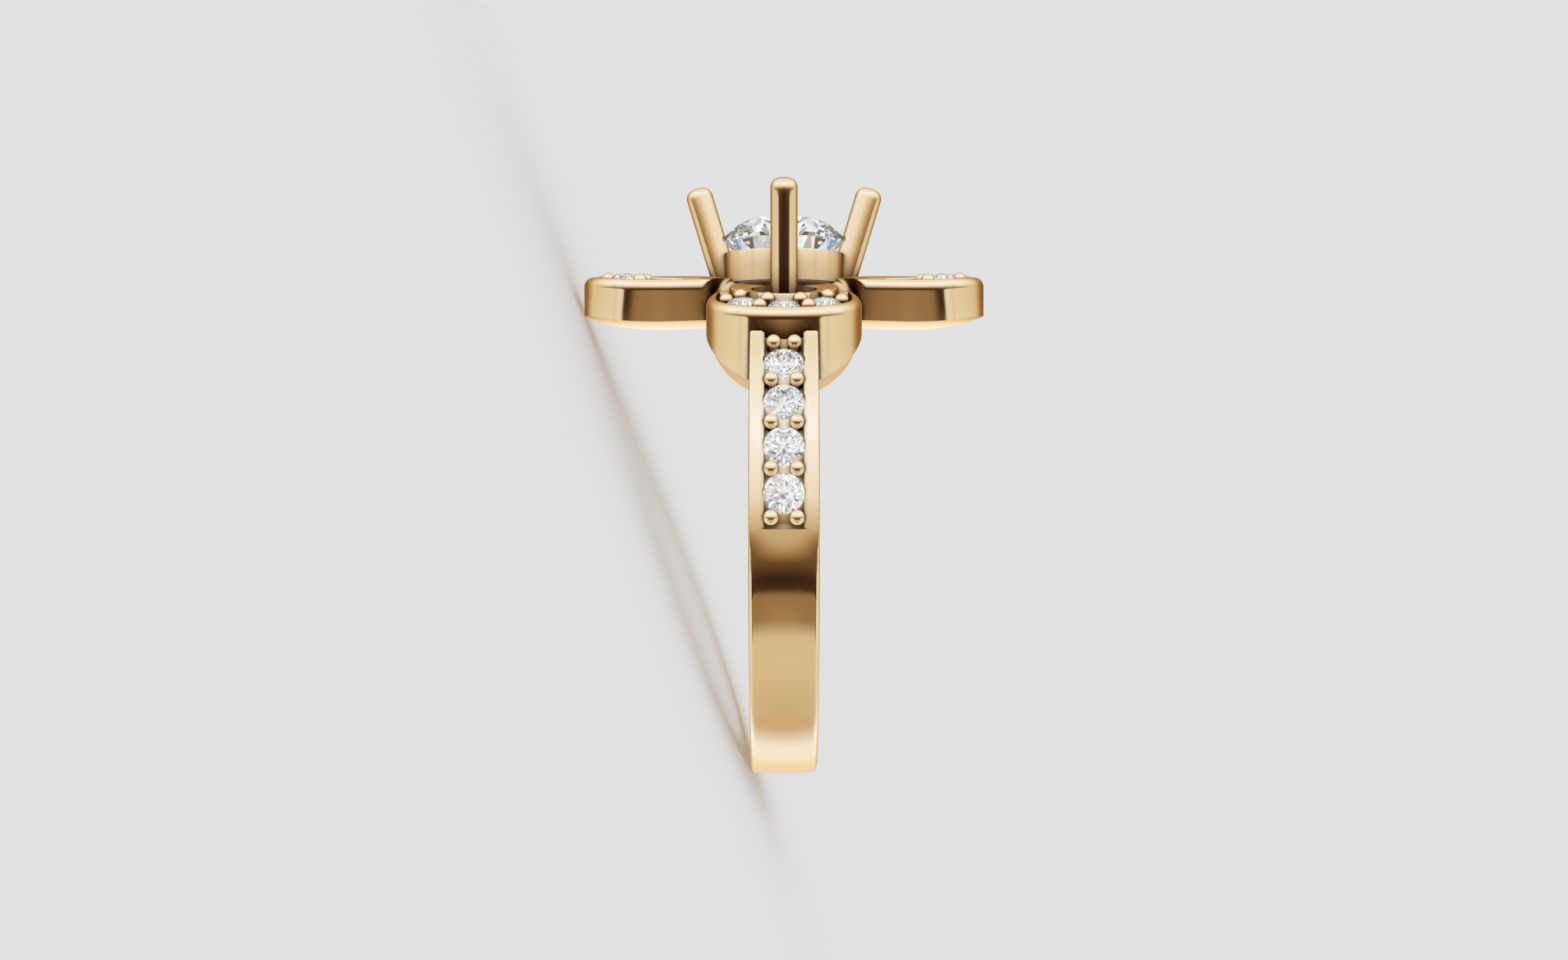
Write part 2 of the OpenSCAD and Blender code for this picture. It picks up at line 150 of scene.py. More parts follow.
class Value:
    """A number socket in a node tree, with Python's operators."""

    def __init__(self, graph: "Graph", socket: bpy.types.NodeSocket) -> None:
        """Wraps a socket.

        Args:
            graph: The tree that the socket is in.
            socket: The output to read.
        """
        self.graph = graph
        self.socket = socket

    def __add__(self, other: "Number") -> "Value":
        """Adds."""
        return self.graph.math("ADD", self, other)

    __radd__ = __add__

    def __sub__(self, other: "Number") -> "Value":
        """Subtracts."""
        return self.graph.math("SUBTRACT", self, other)

    def __rsub__(self, other: "Number") -> "Value":
        """Subtracts from a number."""
        return self.graph.math("SUBTRACT", other, self)

    def __mul__(self, other: "Number") -> "Value":
        """Multiplies."""
        return self.graph.math("MULTIPLY", self, other)

    __rmul__ = __mul__


Number = Union[float, Value]


class Graph:
    """Adds nodes to one node tree."""

    def __init__(self, tree: bpy.types.NodeTree) -> None:
        """Empties a tree and keeps it.

        Args:
            tree: The tree to fill.
        """
        tree.nodes.clear()
        self.tree = tree

    def node(
        self,
        kind: str,
        settings: Optional[dict[str, Any]] = None,
        inputs: Optional[dict[Union[int, str], Any]] = None,
    ) -> bpy.types.Node:
        """Adds a node.

        Args:
            kind: The node's type.
            settings: Its own settings, and "stops" for a ramp's places and colours.
            inputs: A value, Value or socket for each input that is set.

        Returns:
            The node.
        """
        made = self.tree.nodes.new(kind)
        for name, setting in (settings or {}).items():
            if name == "stops":
                self._fill_ramp(made.color_ramp, setting)
            else:
                setattr(made, name, setting)
        for name, given in (inputs or {}).items():
            if isinstance(given, Value):
                given = given.socket
            if isinstance(given, bpy.types.NodeSocket):
                self.tree.links.new(given, made.inputs[name])
            else:
                made.inputs[name].default_value = given
        return made

    def value(self, kind: str, settings: dict[str, Any], inputs: dict[Union[int, str], Any]) -> Value:
        """Adds a node and wraps its first output."""
        return Value(self, self.node(kind, settings, inputs).outputs[0])

    def math(self, operation: str, *inputs: Number) -> Value:
        """Adds one Math node and wraps its result."""
        return self.value("ShaderNodeMath", {"operation": operation}, dict(enumerate(inputs)))

    def dot(self, vector: bpy.types.NodeSocket, axis: Vector) -> Value:
        """Gives a vector's share along an axis."""
        settings = {"operation": "DOT_PRODUCT"}
        made = self.node("ShaderNodeVectorMath", settings, {0: vector, 1: tuple(axis)})
        return Value(self, made.outputs["Value"])

    def noise(self, place: bpy.types.NodeSocket, **inputs: float) -> Value:
        """Adds a noise over a place, with its scale, detail and roughness."""
        settings = {"noise_dimensions": "3D"}
        return self.value("ShaderNodeTexNoise", settings, {"Vector": place, **inputs})

    def shader(self, kind: str, inputs: dict[Union[int, str], Any]) -> bpy.types.NodeSocket:
        """Adds a shader and gives its socket."""
        return self.node(kind, {}, inputs).outputs[0]

    def choose(
        self, share: Any, first: bpy.types.NodeSocket, second: bpy.types.NodeSocket
    ) -> bpy.types.NodeSocket:
        """Mixes two shaders.

        Args:
            share: How much of the second one.
            first: The first shader.
            second: The second shader.

        Returns:
            The mixed shader's socket.
        """
        return self.shader("ShaderNodeMixShader", {0: share, 1: first, 2: second})

    @staticmethod
    def _fill_ramp(ramp: bpy.types.ColorRamp, stops: Sequence[tuple[float, Colour]]) -> None:
        """Sets a ramp's stops.

        Args:
            ramp: The ramp.
            stops: Places from 0 to 1 with their colours, in order.
        """
        while len(ramp.elements) < len(stops):
            ramp.elements.new(1.0)
        for element, (place, colour) in zip(ramp.elements, stops):
            element.position = place
            element.color = (*colour, 1.0)

    def ramp(self, place: Value, stops: Sequence[tuple[float, Colour]]) -> bpy.types.NodeSocket:
        """Adds a colour ramp and gives its colour."""
        return self.node("ShaderNodeValToRGB", {"stops": stops}, {"Fac": place}).outputs["Color"]

    def blend(self, share: Number, first: Any, second: Any) -> bpy.types.NodeSocket:
        """Mixes two colours.

        Args:
            share: How much of the second one.
            first: The first colour or its socket.
            second: The second colour or its socket.

        Returns:
            The mixed colour's socket.
        """
        made = self.node("ShaderNodeMix", {"data_type": "RGBA"}, {0: share, 6: first, 7: second})
        return made.outputs[2]

    def ease(self, value: Value, low: float, high: float) -> Value:
        """Eases a value from 0 at low to 1 at high."""
        return self.value(
            "ShaderNodeMapRange",
            {"interpolation_type": "SMOOTHSTEP"},
            {"Value": value, "From Min": low, "From Max": high},
        )


@dataclass(frozen=True)
class PolishedGold:
    """Yellow gold after the last buff: fine wheel marks, a faint orange peel, soft wear.

    Its creases and pits are darkened with painted shade.

    Attributes:
        colour: Light that the metal reflects.
        worn: The same where the buff has broken the edges.
        crease_shade: The same, darkened by painted shade in the creases.
        deep: Painted shade at the bottom of pits, the metal's light darkened almost to black.
        glance: Tint of what it mirrors at a glancing angle.
        pit_shade_glance: The same, darkened by painted shade at the bottom of pits.
        roughness: Of the clean polish.
        haze: How much rougher the wheel marks are.
        smear: How much rougher the clouded patches are.
        edge_haze: How much rougher the broken edges are.
        reach: How far off a wall the painted shade darkens a crease, in metres.
        crease: Open shares between which a crease's painted shade ends.
        pit: Open shares between which a pit's painted shade ends.
        broken: Pointiness between which an edge counts as broken.
        edge_wear: How much of the worn colour a broken edge takes.
        cloud_wear: How much of the worn colour a clouded patch takes.
        peel_scale: Orange peel's waves in a metre.
        cloud_scale: Clouded patches in a metre.
        mark_scale: Wheel marks in a metre, across them.
        mark_stretch: How much longer than wide the marks are, as their scale along them.
        bump: Strength of the peel's and the marks' bumps.
        bump_height: Their height in metres.
    """

    colour: Colour = (0.83, 0.58, 0.34)
    worn: Colour = (0.87, 0.64, 0.4)
    # Painted shade: a darker crease colour that ambient occlusion puts where walls close in.
    crease_shade: Colour = (0.66, 0.36, 0.15)
    # Painted shade: near-black metal and a dark glancing tint for the bottom of pits.
    deep: Colour = (0.07, 0.034, 0.014)
    glance: Colour = (0.8, 0.52, 0.28)
    pit_shade_glance: Colour = (0.22, 0.12, 0.055)
    roughness: float = 0.085
    haze: float = 0.04
    smear: float = 0.02
    edge_haze: float = 0.03
    reach: float = 0.0026
    crease: Span = (0.3, 0.82)
    pit: Span = (0.28, 0.75)
    broken: Span = (0.5, 0.56)
    edge_wear: float = 0.5
    cloud_wear: float = 0.25
    peel_scale: float = 900.0
    cloud_scale: float = 315.0
    mark_scale: float = 9000.0
    mark_stretch: float = 0.06
    bump: float = 0.06
    bump_height: float = 0.000004

    def material(self, stand: Stand) -> bpy.types.Material:
        """Makes the gold.

        Args:
            stand: Gives the finger's direction, round which the wheel marks run.

        Returns:
            The material.
        """
        made, graph = new_material("polished_gold")
        place = graph.node("ShaderNodeTexCoord").outputs["Object"]
        turned = graph.node(
            "ShaderNodeMapping",
            {"vector_type": "POINT"},
            {
                "Vector": place,
                "Rotation": (0.0, -math.radians(stand.tilt), 0.0),
                "Scale": (self.mark_stretch, self.mark_stretch, 1.0),
            },
        ).outputs[0]
        marks = graph.noise(turned, Scale=self.mark_scale, Detail=3.0, Roughness=0.6)
        peel = graph.noise(place, Scale=self.peel_scale, Detail=2.0)
        cloud = graph.noise(place, Scale=self.cloud_scale, Detail=4.0, Roughness=0.65)
        point = graph.node("ShaderNodeNewGeometry").outputs["Pointiness"]
        edge = graph.ease(Value(graph, point), *self.broken)
        # Painted shade: ambient occlusion darkens the colour in creases and swaps in near-black metal in
        # pits.
        clear = graph.node("ShaderNodeAmbientOcclusion", {"samples": 12}, {"Distance": self.reach})
        open_share = Value(graph, clear.outputs["AO"])
        base = graph.blend(
            graph.ease(open_share, *self.crease), (*self.crease_shade, 1.0), (*self.colour, 1.0)
        )
        wear = edge * self.edge_wear + graph.ease(cloud, 0.5, 0.8) * self.cloud_wear
        base = graph.blend(wear, base, (*self.worn, 1.0))
        rough = self.roughness + graph.ease(marks, 0.52, 0.75) * self.haze
        rough = rough + graph.ease(cloud, 0.45, 0.75) * self.smear + edge * self.edge_haze
        bump = graph.node(
            "ShaderNodeBump",
            {},
            {
                "Strength": self.bump,
                "Distance": self.bump_height,
                "Height": peel * 0.7 + marks * 0.3,
            },
        ).outputs[0]
        looks = [
            graph.shader(
                "ShaderNodeBsdfPrincipled",
                {
                    "Base Color": look,
                    "Metallic": 1.0,
                    "Roughness": rough,
                    "Specular Tint": (*tint, 1.0),
                    "Normal": bump,
                },
            )
            for look, tint in (((*self.deep, 1.0), self.pit_shade_glance), (base, self.glance))
        ]
        # Painted shade: where ambient occlusion is strongest, the near-black pit metal takes over.
        shader = graph.choose(graph.ease(open_share, *self.pit), *looks)
        graph.node("ShaderNodeOutputMaterial", {}, {"Surface": shader})
        return made


@dataclass(frozen=True)
class ClearDiamond:
    """A clear cut diamond with the least trace of body colour and faint polish lines.

    Attributes:
        tint: The clear stone.
        cool: Its faint cooler zones.
        glance: Colour of what its faces mirror outside, against the room's cool light.
        index: Refractive index.
        zone_scale: Cooler zones in a metre.
        line_scale: Polish lines in a metre.
        line_haze: How rough the polish lines are.
    """

    tint: Colour = (0.985, 0.988, 0.99)
    cool: Colour = (0.93, 0.95, 0.985)
    glance: Colour = (1.0, 0.7, 0.42)
    index: float = 2.417
    zone_scale: float = 1400.0
    line_scale: float = 12000.0
    line_haze: float = 0.012

    def material(self) -> bpy.types.Material:
        """Makes the diamond.

        Its faces mirror in one colour outside and another inside. For rays that the gold
        mirrors it is clear right through, so that no piece shows a stone behind it.

        Returns:
            The material.
        """
        made, graph = new_material("clear_diamond")
        place = graph.node("ShaderNodeTexCoord").outputs["Object"]
        growth = graph.noise(place, Scale=self.zone_scale, Detail=2.0)
        lines = graph.noise(place, Scale=self.line_scale, Detail=1.0)
        base = graph.blend(graph.ease(growth, 0.45, 0.8), (*self.tint, 1.0), (*self.cool, 1.0))
        rough = graph.ease(lines, 0.6, 0.9) * self.line_haze
        faces = [
            graph.shader(
                "ShaderNodeBsdfPrincipled",
                {
                    "Base Color": base,
                    "Roughness": rough,
                    "IOR": self.index,
                    "Specular Tint": (*glance, 1.0),
                    "Transmission Weight": 1.0,
                },
            )
            for glance in (self.glance, (1.0, 1.0, 1.0))
        ]
        inside = graph.node("ShaderNodeNewGeometry").outputs["Backfacing"]
        shader = graph.choose(inside, *faces)
        light = graph.node("ShaderNodeLightPath").outputs
        outer = graph.value(
            "ShaderNodeMath",
            {"operation": "MAXIMUM"},
            {0: 1 - Value(graph, inside), 1: light["Transparent Depth"]},
        )
        mirrored = Value(graph, light["Is Glossy Ray"]) * outer
        shader = graph.choose(mirrored, shader, graph.shader("ShaderNodeBsdfTransparent", {}))
        graph.node("ShaderNodeOutputMaterial", {}, {"Surface": shader})
        return made


@dataclass(frozen=True)
class PaleTable:
    """A plain pale matt table top with a breath of grain.

    Attributes:
        colour: The table's light.
        shade: The same in the grain.
        grain_scale: Grains in a metre.
    """

    colour: Colour = (0.8, 0.8, 0.8)
    shade: Colour = (0.79, 0.79, 0.79)
    grain_scale: float = 40.0

    def material(self) -> bpy.types.Material:
        """Makes the table top's finish."""
        made, graph = new_material("pale_table")
        place = graph.node("ShaderNodeTexCoord").outputs["Object"]
        grain = graph.noise(place, Scale=self.grain_scale, Detail=3.0)
        base = graph.blend(grain, (*self.colour, 1.0), (*self.shade, 1.0))
        shader = graph.shader(
            "ShaderNodeBsdfPrincipled",
            {"Base Color": base, "Roughness": 1.0, "Specular IOR Level": 0.0},
        )
        graph.node("ShaderNodeOutputMaterial", {}, {"Surface": shader})
        return made


def new_material(name: str) -> tuple[bpy.types.Material, Graph]:
    """Makes a material and gives it with its empty nodes."""
    made = bpy.data.materials.new(name)
    made.use_nodes = True
    return made, Graph(made.node_tree)


@dataclass
class Shape:
    """Points and faces of one mesh, in the standing ring's millimetres."""

    points: list[Point] = field(default_factory=list)
    faces: list[Face] = field(default_factory=list)

    def add_grid(self, rows: Sequence[Sequence[Point]], closed_rows: bool, closed_columns: bool) -> None:
        """Joins rows of points with faces.

        Args:
            rows: Rows of equal length.
            closed_rows: Whether the last row joins the first.
            closed_columns: Whether the last column joins the first.
        """
        first = len(self.points)
        wide = len(rows[0])
        for row in rows:
            self.points.extend(row)
        row_steps = len(rows) if closed_rows else len(rows) - 1
        column_steps = wide if closed_columns else wide - 1
        for i in range(row_steps):
            for j in range(column_steps):
                a = first + i * wide + j
                b = first + i * wide + (j + 1) % wide
                below = (i + 1) % len(rows)
                c = first + below * wide + (j + 1) % wide
                d = first + below * wide + j
                self.faces.append((a, b, c, d))

    def cap(self, ring: Sequence[int], centre: Point, turned: bool) -> None:
        """Closes a ring of points with a fan.

        Args:
            ring: The points' places in the list.
            centre: The fan's middle.
            turned: Whether the fan faces the other way.
        """
        middle = len(self.points)
        self.points.append(centre)
        for i, a in enumerate(ring):
            b = ring[(i + 1) % len(ring)]
            self.faces.append((b, a, middle) if turned else (a, b, middle))

    def add_turning(self, profile: Sequence[Station], place: Matrix, segments: int) -> None:
        """Adds a turned solid.

        Args:
            profile: Radius and height from the foot to the tip, both ends off the axis.
            place: Carries the solid from the Z axis to where it stands.
            segments: Steps round the axis.
        """
        first, first_face = len(self.points), len(self.faces)
        rows = []
        for k in range(segments):
            angle = 2 * math.pi * k / segments
            row = [place @ Vector((r * math.cos(angle), r * math.sin(angle), z)) for r, z in profile]
            rows.append([tuple(p) for p in row])
        self.add_grid(rows, True, False)
        self.faces[first_face:] = [f[::-1] for f in self.faces[first_face:]]
        wide = len(profile)
        foot = [first + k * wide for k in range(segments)]
        tip = [first + k * wide + wide - 1 for k in range(segments)]
        self.cap(foot, tuple(place @ Vector((0.0, 0.0, profile[0][1]))), True)
        self.cap(tip, tuple(place @ Vector((0.0, 0.0, profile[-1][1]))), False)

    def mesh_object(self, name: str) -> bpy.types.Object:
        """Makes the object, still standing and in millimetres.

        Args:
            name: The object's name.

        Returns:
            The object, linked to the scene.
        """
        mesh = bpy.data.meshes.new(name)
        mesh.from_pydata(self.points, [], self.faces)
        mesh.validate()
        made = bpy.data.objects.new(name, mesh)
        bpy.context.scene.collection.objects.link(made)
        return made


class Bench:
    """Cuts, lays, dresses and reports the pieces."""

    def __init__(self, stand: Stand) -> None:
        """Makes the finishes.

        Args:
            stand: Where the ring lies.
        """
        self.stand = stand
        self.gold = PolishedGold().material(stand)
        self.diamond = ClearDiamond().material()

    def cut(self, piece: bpy.types.Object, room: Shape) -> None:
        """Takes rooms for stones out of a piece.

        Args:
            piece: The piece, still standing.
            room: The rooms, as one shape.
        """
        cutter = room.mesh_object("room")
        modifier = piece.modifiers.new("room", "BOOLEAN")
        modifier.operation = "DIFFERENCE"
        modifier.solver = "EXACT"
        modifier.object = cutter
        bpy.context.view_layer.update()
        graph = bpy.context.evaluated_depsgraph_get()
        mesh = bpy.data.meshes.new_from_object(piece.evaluated_get(graph))
        piece.modifiers.clear()
        piece.data = mesh
        bpy.data.objects.remove(cutter)

    def finish_gold(self, piece: bpy.types.Object) -> None:
        """Lays a metal piece down, dresses it and sets it in place of the plain mount.

        The gold and the stones show the room only, not the other pieces of gold.

        Args:
            piece: The piece, still standing.
        """
        mesh = piece.data
        mesh.transform(self.stand.matrix)
        mesh.shade_smooth()
        mesh.set_sharp_from_angle(angle=SHARP_EDGE)
        mesh.materials.clear()
        mesh.materials.append(self.gold)
        piece.visible_transmission = False
        piece.visible_glossy = False
        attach(piece, BODY)
        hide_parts(MOUNT)
        log.info("%s: %d faces", piece.name, len(mesh.polygons))

    def finish_stone(self, name: str) -> None:
        """Gives a stone's own solid its clear finish.

        It casts no shadow, so that the gold's painted crease shade doesn't darken the metal below it as
        a wall would.

        Args:
            name: The node.
        """
        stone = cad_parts[name]
        stone.visible_shadow = False
        stone.data.materials.clear()
        stone.data.materials.append(self.diamond)
        log.info("%s: clear diamond", name)


@dataclass(frozen=True)
class Brilliant:
    """The room that one round brilliant and its clear space take out of the metal.

    Attributes:
        diameter: Of the stone.
        gap: Clear space round it.
        table: Table's share of the diameter.
        girdle: Girdle's share of the diameter.
        crown: Angle of the crown.
        pavilion: Angle of the pavilion.
        tip: Radius at which the room's point is closed off.
        lip: How far the room runs straight up before the crown's slope.
        open_up: How far it runs straight up where it is open above.
        segments: Steps round a small stone's room.
    """

    diameter: float
    gap: float = 0.03
    table: float = 0.57
    girdle: float = 0.03
    crown: float = 34.5
    pavilion: float = 40.75
    tip: float = 0.02
    lip: float = 0.03
    open_up: float = 1.0
    segments: int = 48

    def profile(self, up: float) -> list[Station]:
        """Gives the room's outline.

        Args:
            up: How far the room runs straight up from the girdle.

        Returns:
            Radius and height from the point to the top.
        """
        radius = self.diameter / 2 + self.gap
        depth = radius * math.tan(math.radians(self.pavilion)) + self.diameter * self.girdle
        drop = self.diameter * self.girdle
        return [(self.tip, -depth - self.gap), (radius, -drop), (radius, up)]

    def crown_profile(self) -> list[Station]:
        """Gives the room's outline with the crown's slope above the girdle."""
        radius = self.diameter / 2 + self.gap
        table = self.diameter * self.table / 2
        high = (radius - table) * math.tan(math.radians(self.crown))
        return self.profile(self.lip) + [(table, high)]

    def sink_into(self, room: Shape, place: Matrix, sink: float) -> None:
        """Adds the stone's room, open above.

        Args:
            room: Takes it.
            place: A place on the metal's surface.
            sink: How far below that surface the girdle lies.
        """
        sunk = place @ Matrix.Translation((0.0, 0.0, -sink))
        room.add_turning(self.profile(self.open_up), sunk, self.segments)


@dataclass(frozen=True)
class Bead:
    """A bead of metal on a post, pushed over the edges of the stones beside it.

    Attributes:
        post: Radius of the post.
        ball: Radius of the ball.
        root: How deep the post stands in the metal.
        tip: Angle from its top at which the ball is closed off.
        segments: Steps round it.
        steps: Steps from the post to the ball's top.
    """

    post: float = 0.27
    ball: float = 0.3
    root: float = 0.15
    tip: float = 0.04
    segments: int = 28
    steps: int = 12

    def add_to(self, shape: Shape, place: Matrix, depth: float, proud: float) -> None:
        """Adds one bead.

        Args:
            shape: Takes the bead.
            place: Carries it to the surface that it stands on.
            depth: How far below that surface its floor lies.
            proud: How far above the surface its top reaches.
        """
        middle = proud - self.ball
        lowest = math.acos(-math.sqrt(1 - (self.post / self.ball) ** 2))
        arc = [lowest * (1 - k / self.steps) for k in range(self.steps)] + [self.tip]
        profile = [(self.post, -depth - self.root)]
        profile += [(self.ball * math.sin(a), middle + self.ball * math.cos(a)) for a in arc]
        shape.add_turning(profile, place, self.segments)


@dataclass(frozen=True)
class Outline:
    """A petal's outline about its eye: mean + lean cos a + oval cos 2a + square cos 4a."""

    mean: float
    lean: float
    oval: float
    square: float

    def reach(self, angle: float) -> float:
        """Gives the distance from the eye at an angle from the petal's axis."""
        return (
            self.mean
            + self.lean * math.cos(angle)
            + self.oval * math.cos(2 * angle)
            + self.square * math.cos(4 * angle)
        )

    def distance(self, along: float, across: float) -> float:
        """Gives the distance of a place from the outline.

        Args:
            along: Along the petal's axis from the eye.
            across: Across it.

        Returns:
            The distance, less than 0 inside.
        """
        angle = math.atan2(across, along)
        slope = (
            -self.lean * math.sin(angle)
            - 2 * self.oval * math.sin(2 * angle)
            - 4 * self.square * math.sin(4 * angle)
        )
        reach = self.reach(angle)
        return (math.hypot(along, across) - reach) / math.hypot(1.0, slope / reach)


SIDE_OUTLINE = Outline(3.245, 0.18, 0.04, -0.05)
FRONT_OUTLINE = Outline(3.437, 0.227, 0.167, -0.1)


@dataclass
class Petal:
    """What the four petals share: an eye, a rim, a dish and raised ground round the eye.

    Attributes:
        side: Which of the four it is.
        outline: Its outline about the eye.
        eye: Distance of the eye from the ring's middle.
        eye_radius: Radius of the eye.
        ground_width: Width of the raised ground before the eye.
        ground_back: How far behind the eye the raised ground's own middle lies.
        ground_soft: Radius of the raised ground's edges.
        ground_slope: How far its edge slopes behind the eye.
        ground_foot: Width and height of the step at its foot.
        slope_from: Distances behind the eye between which it begins to slope.
        ground_gap: Least distance between the raised ground and the rim.
        dish_end: How far behind the eye the dish reaches.
        dish_fade: Half of the length in which it ends.
        dish_soft: Radius at the dish's edge.
        rim_width: Width of the rim.
        rim_step: Small drop that keeps the rim's inner edge crisp.
        fillet: Radius of the rim's outer edge.
        thin_fillet: The same where the edge isn't the petal's own.
        overlap: How far the underside reaches past such an edge.
        under_radius: Radius of the underside's bend.
        stone: Diameter of its stones.
        stone_out: Distance of the stones from the eye's middle.
        stone_sink: How far below the surface their girdles lie.
        arc_step: Degrees from stone to stone.
        bead_depth: How far below the surface the beads stand.
        bead_out: Distance of the outer beads from the eye's middle.
        bead_in: The same for the inner beads.
        bead_in_end: The same for the first and the last inner bead.
        bead_proud: How far an outer bead's top stands above the stones' level.
        bead_in_proud: The same for an inner bead.
        pocket_radius: Radius of the pocket below the centre stone.
        pocket_foot: Height of its floor.
        pocket_tip: Height at which its slope would meet the axis.
        pocket_slope: How steeply it rises.
        foot_follow: How much of the wall's lean the underside follows.
        rays: Rays from the eye to the edge.
    """

    side: Side
    outline: Outline
    eye: float
    eye_radius: float = 1.36
    ground_width: float = 0.24
    ground_back: float = 0.67
    ground_soft: float = 0.05
    ground_slope: float = 0.3
    ground_foot: float = 0.06
    slope_from: Span = (0.3, 1.6)
    ground_gap: float = 0.22
    dish_end: float = 0.8
    dish_fade: float = 0.12
    dish_soft: float = 0.05
    rim_width: float = 0.38
    rim_step: float = 0.01
    fillet: float = 0.37
    thin_fillet: float = 0.04
    overlap: float = 0.08
    under_radius: float = 9.17
    stone: float = 1.3
    stone_out: float = 2.3
    stone_sink: float = 0.1
    arc_step: float = 46.0
    bead_depth: float = 0.45
    bead_out: float = 2.52
    bead_in: float = 1.7
    bead_in_end: float = 1.9
    bead_proud: float = 0.2
    bead_in_proud: float = 0.13
    pocket_radius: float = 1.97
    pocket_foot: float = 9.3
    pocket_tip: float = 8.356
    pocket_slope: float = 1.0884
    foot_follow: float = 0.0
    rays: int = 288

    def across_and_front(self, along: float, across: float) -> tuple[float, float]:
        """Turns a place about the eye into one along the finger and towards the front."""
        raise NotImplementedError

    def rim(self, front: float) -> float:
        """Gives the rim's height at a distance in front of the middle."""
        raise NotImplementedError

    def floor(self, front: float) -> float:
        """Gives the dish's height."""
        raise NotImplementedError

    def ground(self, front: float) -> float:
        """Gives the height of the raised ground round the eye."""
        raise NotImplementedError

    def wall_shift(self, front: float, height: float) -> float:
        """Gives how far the leaning wall stands in from the rim at a height."""
        raise NotImplementedError

    def merged(self, angle: float) -> float:
        """Gives how far the petal's edge has run into its neighbours there, from 0 to 1."""
        return 0.0

    def neighbour(self, front: float) -> float:
        """Gives the height of the neighbours' surface."""
        return self.rim(front)

    def beyond(self, along: float, across: float) -> float:
        """Gives the distance of a place from the petal's edge, less than 0 inside."""
        return self.outline.distance(along, across)

    def edge_share(self, along: float, across: float) -> float:
        """Gives how far an edge is the petal's own, from 0 to 1."""
        return 1.0

    def eye_bottom(self, front: float) -> float:
        """Gives the height at which the eye's wall ends."""
        raise NotImplementedError

    def rim_rise(self, angle: float) -> float:
        """Gives how far the rim lies above the stones' level beside an outer bead."""
        return 0.0

    def close(self, shape: Shape, rows: list[list[Point]]) -> None:
        """Joins the rays into one shape."""
        raise NotImplementedError

    def surface_place(self, angle: float, reach: float) -> Matrix:
        """Gives the place and lean of the surface at an angle and distance from the eye."""
        raise NotImplementedError

    def under(self, front: float) -> float:
        """Gives the underside's height."""
        return math.sqrt(self.under_radius**2 - front**2)

    def edge(self, angle: float, inset: float) -> float:
        """Finds where a ray from the eye comes within an inset of the edge.

        Args:
            angle: The ray's angle from the petal's axis.
            inset: The distance to keep from the edge.

        Returns:
            The distance from the eye.
        """
        low = self.eye_radius
        high = self.outline.reach(angle) + SEARCH_REACH
        for _ in range(SEARCH_STEPS):
            middle = (low + high) / 2
            if self.beyond(middle * math.cos(angle), middle * math.sin(angle)) > -inset:
                high = middle
            else:
                low = middle
        return low

    def sunk(self, place: Point) -> Point:
        """Lowers a point into the round pocket below the centre stone."""
        out = math.hypot(place[0], place[1])
        if out >= self.pocket_radius:
            return place
        pocket = max(self.pocket_foot, self.pocket_tip + self.pocket_slope * out)
        return (place[0], place[1], min(place[2], pocket))

    def station(
        self, angle: float, reach: float, level: Callable[[float], float], drop: float = 0.0
    ) -> Point:
        """Gives a point over a place about the eye.

        Args:
            angle: Angle from the petal's axis.
            reach: Distance from the eye.
            level: Gives the height at a distance in front of the middle.
            drop: How far below that height the point lies.

        Returns:
            The point.
        """
        side, front = self.across_and_front(reach * math.cos(angle), reach * math.sin(angle))
        return self.sunk((side, -front, level(front) - drop))

    def on_wall(self, side: float, front: float, height: float) -> Point:
        """Gives the leaning wall's point at a height, below a place on the rim's edge."""
        return self.sunk((side, -(front - self.wall_shift(front, height)), height))

    def profile(self, angle: float) -> list[Point]:
        """Gives one ray's points: under, up the wall, over rim, dish and ground, into the eye.

        Args:
            angle: The ray's angle from the petal's axis.

        Returns:
            The points, from the eye's foot round to its wall.
        """
        reach = self.edge(angle, 0.0)
        along, across = reach * math.cos(angle), reach * math.sin(angle)
        own = self.edge_share(along, across)
        merged = self.merged(angle)

        def rim(front: float) -> float:
            """Gives the rim's height, raised where the petal runs into its neighbours."""
            return mix(self.rim(front), self.neighbour(front), merged)

        points = self.under_points(angle, reach, own)
        fillet = mix(self.thin_fillet, self.fillet, own * (1 - merged))
        side, front = self.across_and_front(along, across)
        top = rim(front) - fillet
        foot = points[-1][2]
        for share in (0.3, 0.6, 0.8, 0.97):
            points.append(self.on_wall(side, front, mix(foot, top, share)))
        for turn in quarter(7):
            at = self.edge(angle, fillet * (1 - math.cos(turn)))
            side, front = self.across_and_front(at * math.cos(angle), at * math.sin(angle))
            points.append(self.on_wall(side, front, rim(front) - fillet * (1 - math.sin(turn))))
        crest = self.edge(angle, self.rim_width - self.rim_step)
        points.append(self.station(angle, crest, rim))
        inner = self.edge(angle, self.rim_width)
        points.append(self.station(angle, inner, rim, self.rim_step))
        points.append(self.dished(angle, inner - self.rim_step, self.dish_soft))
        points.append(self.dished(angle, inner - self.dish_soft, 0.0))
        ground = min(self.ground_edge(angle), inner - self.ground_gap)
        for share in (0.2, 0.4, 0.6, 0.8):
            at = mix(inner - self.dish_soft, ground + self.ground_foot, share)
            points.append(self.dished(angle, at, 0.0))
        points += self.ground_points(angle, ground)
        return points

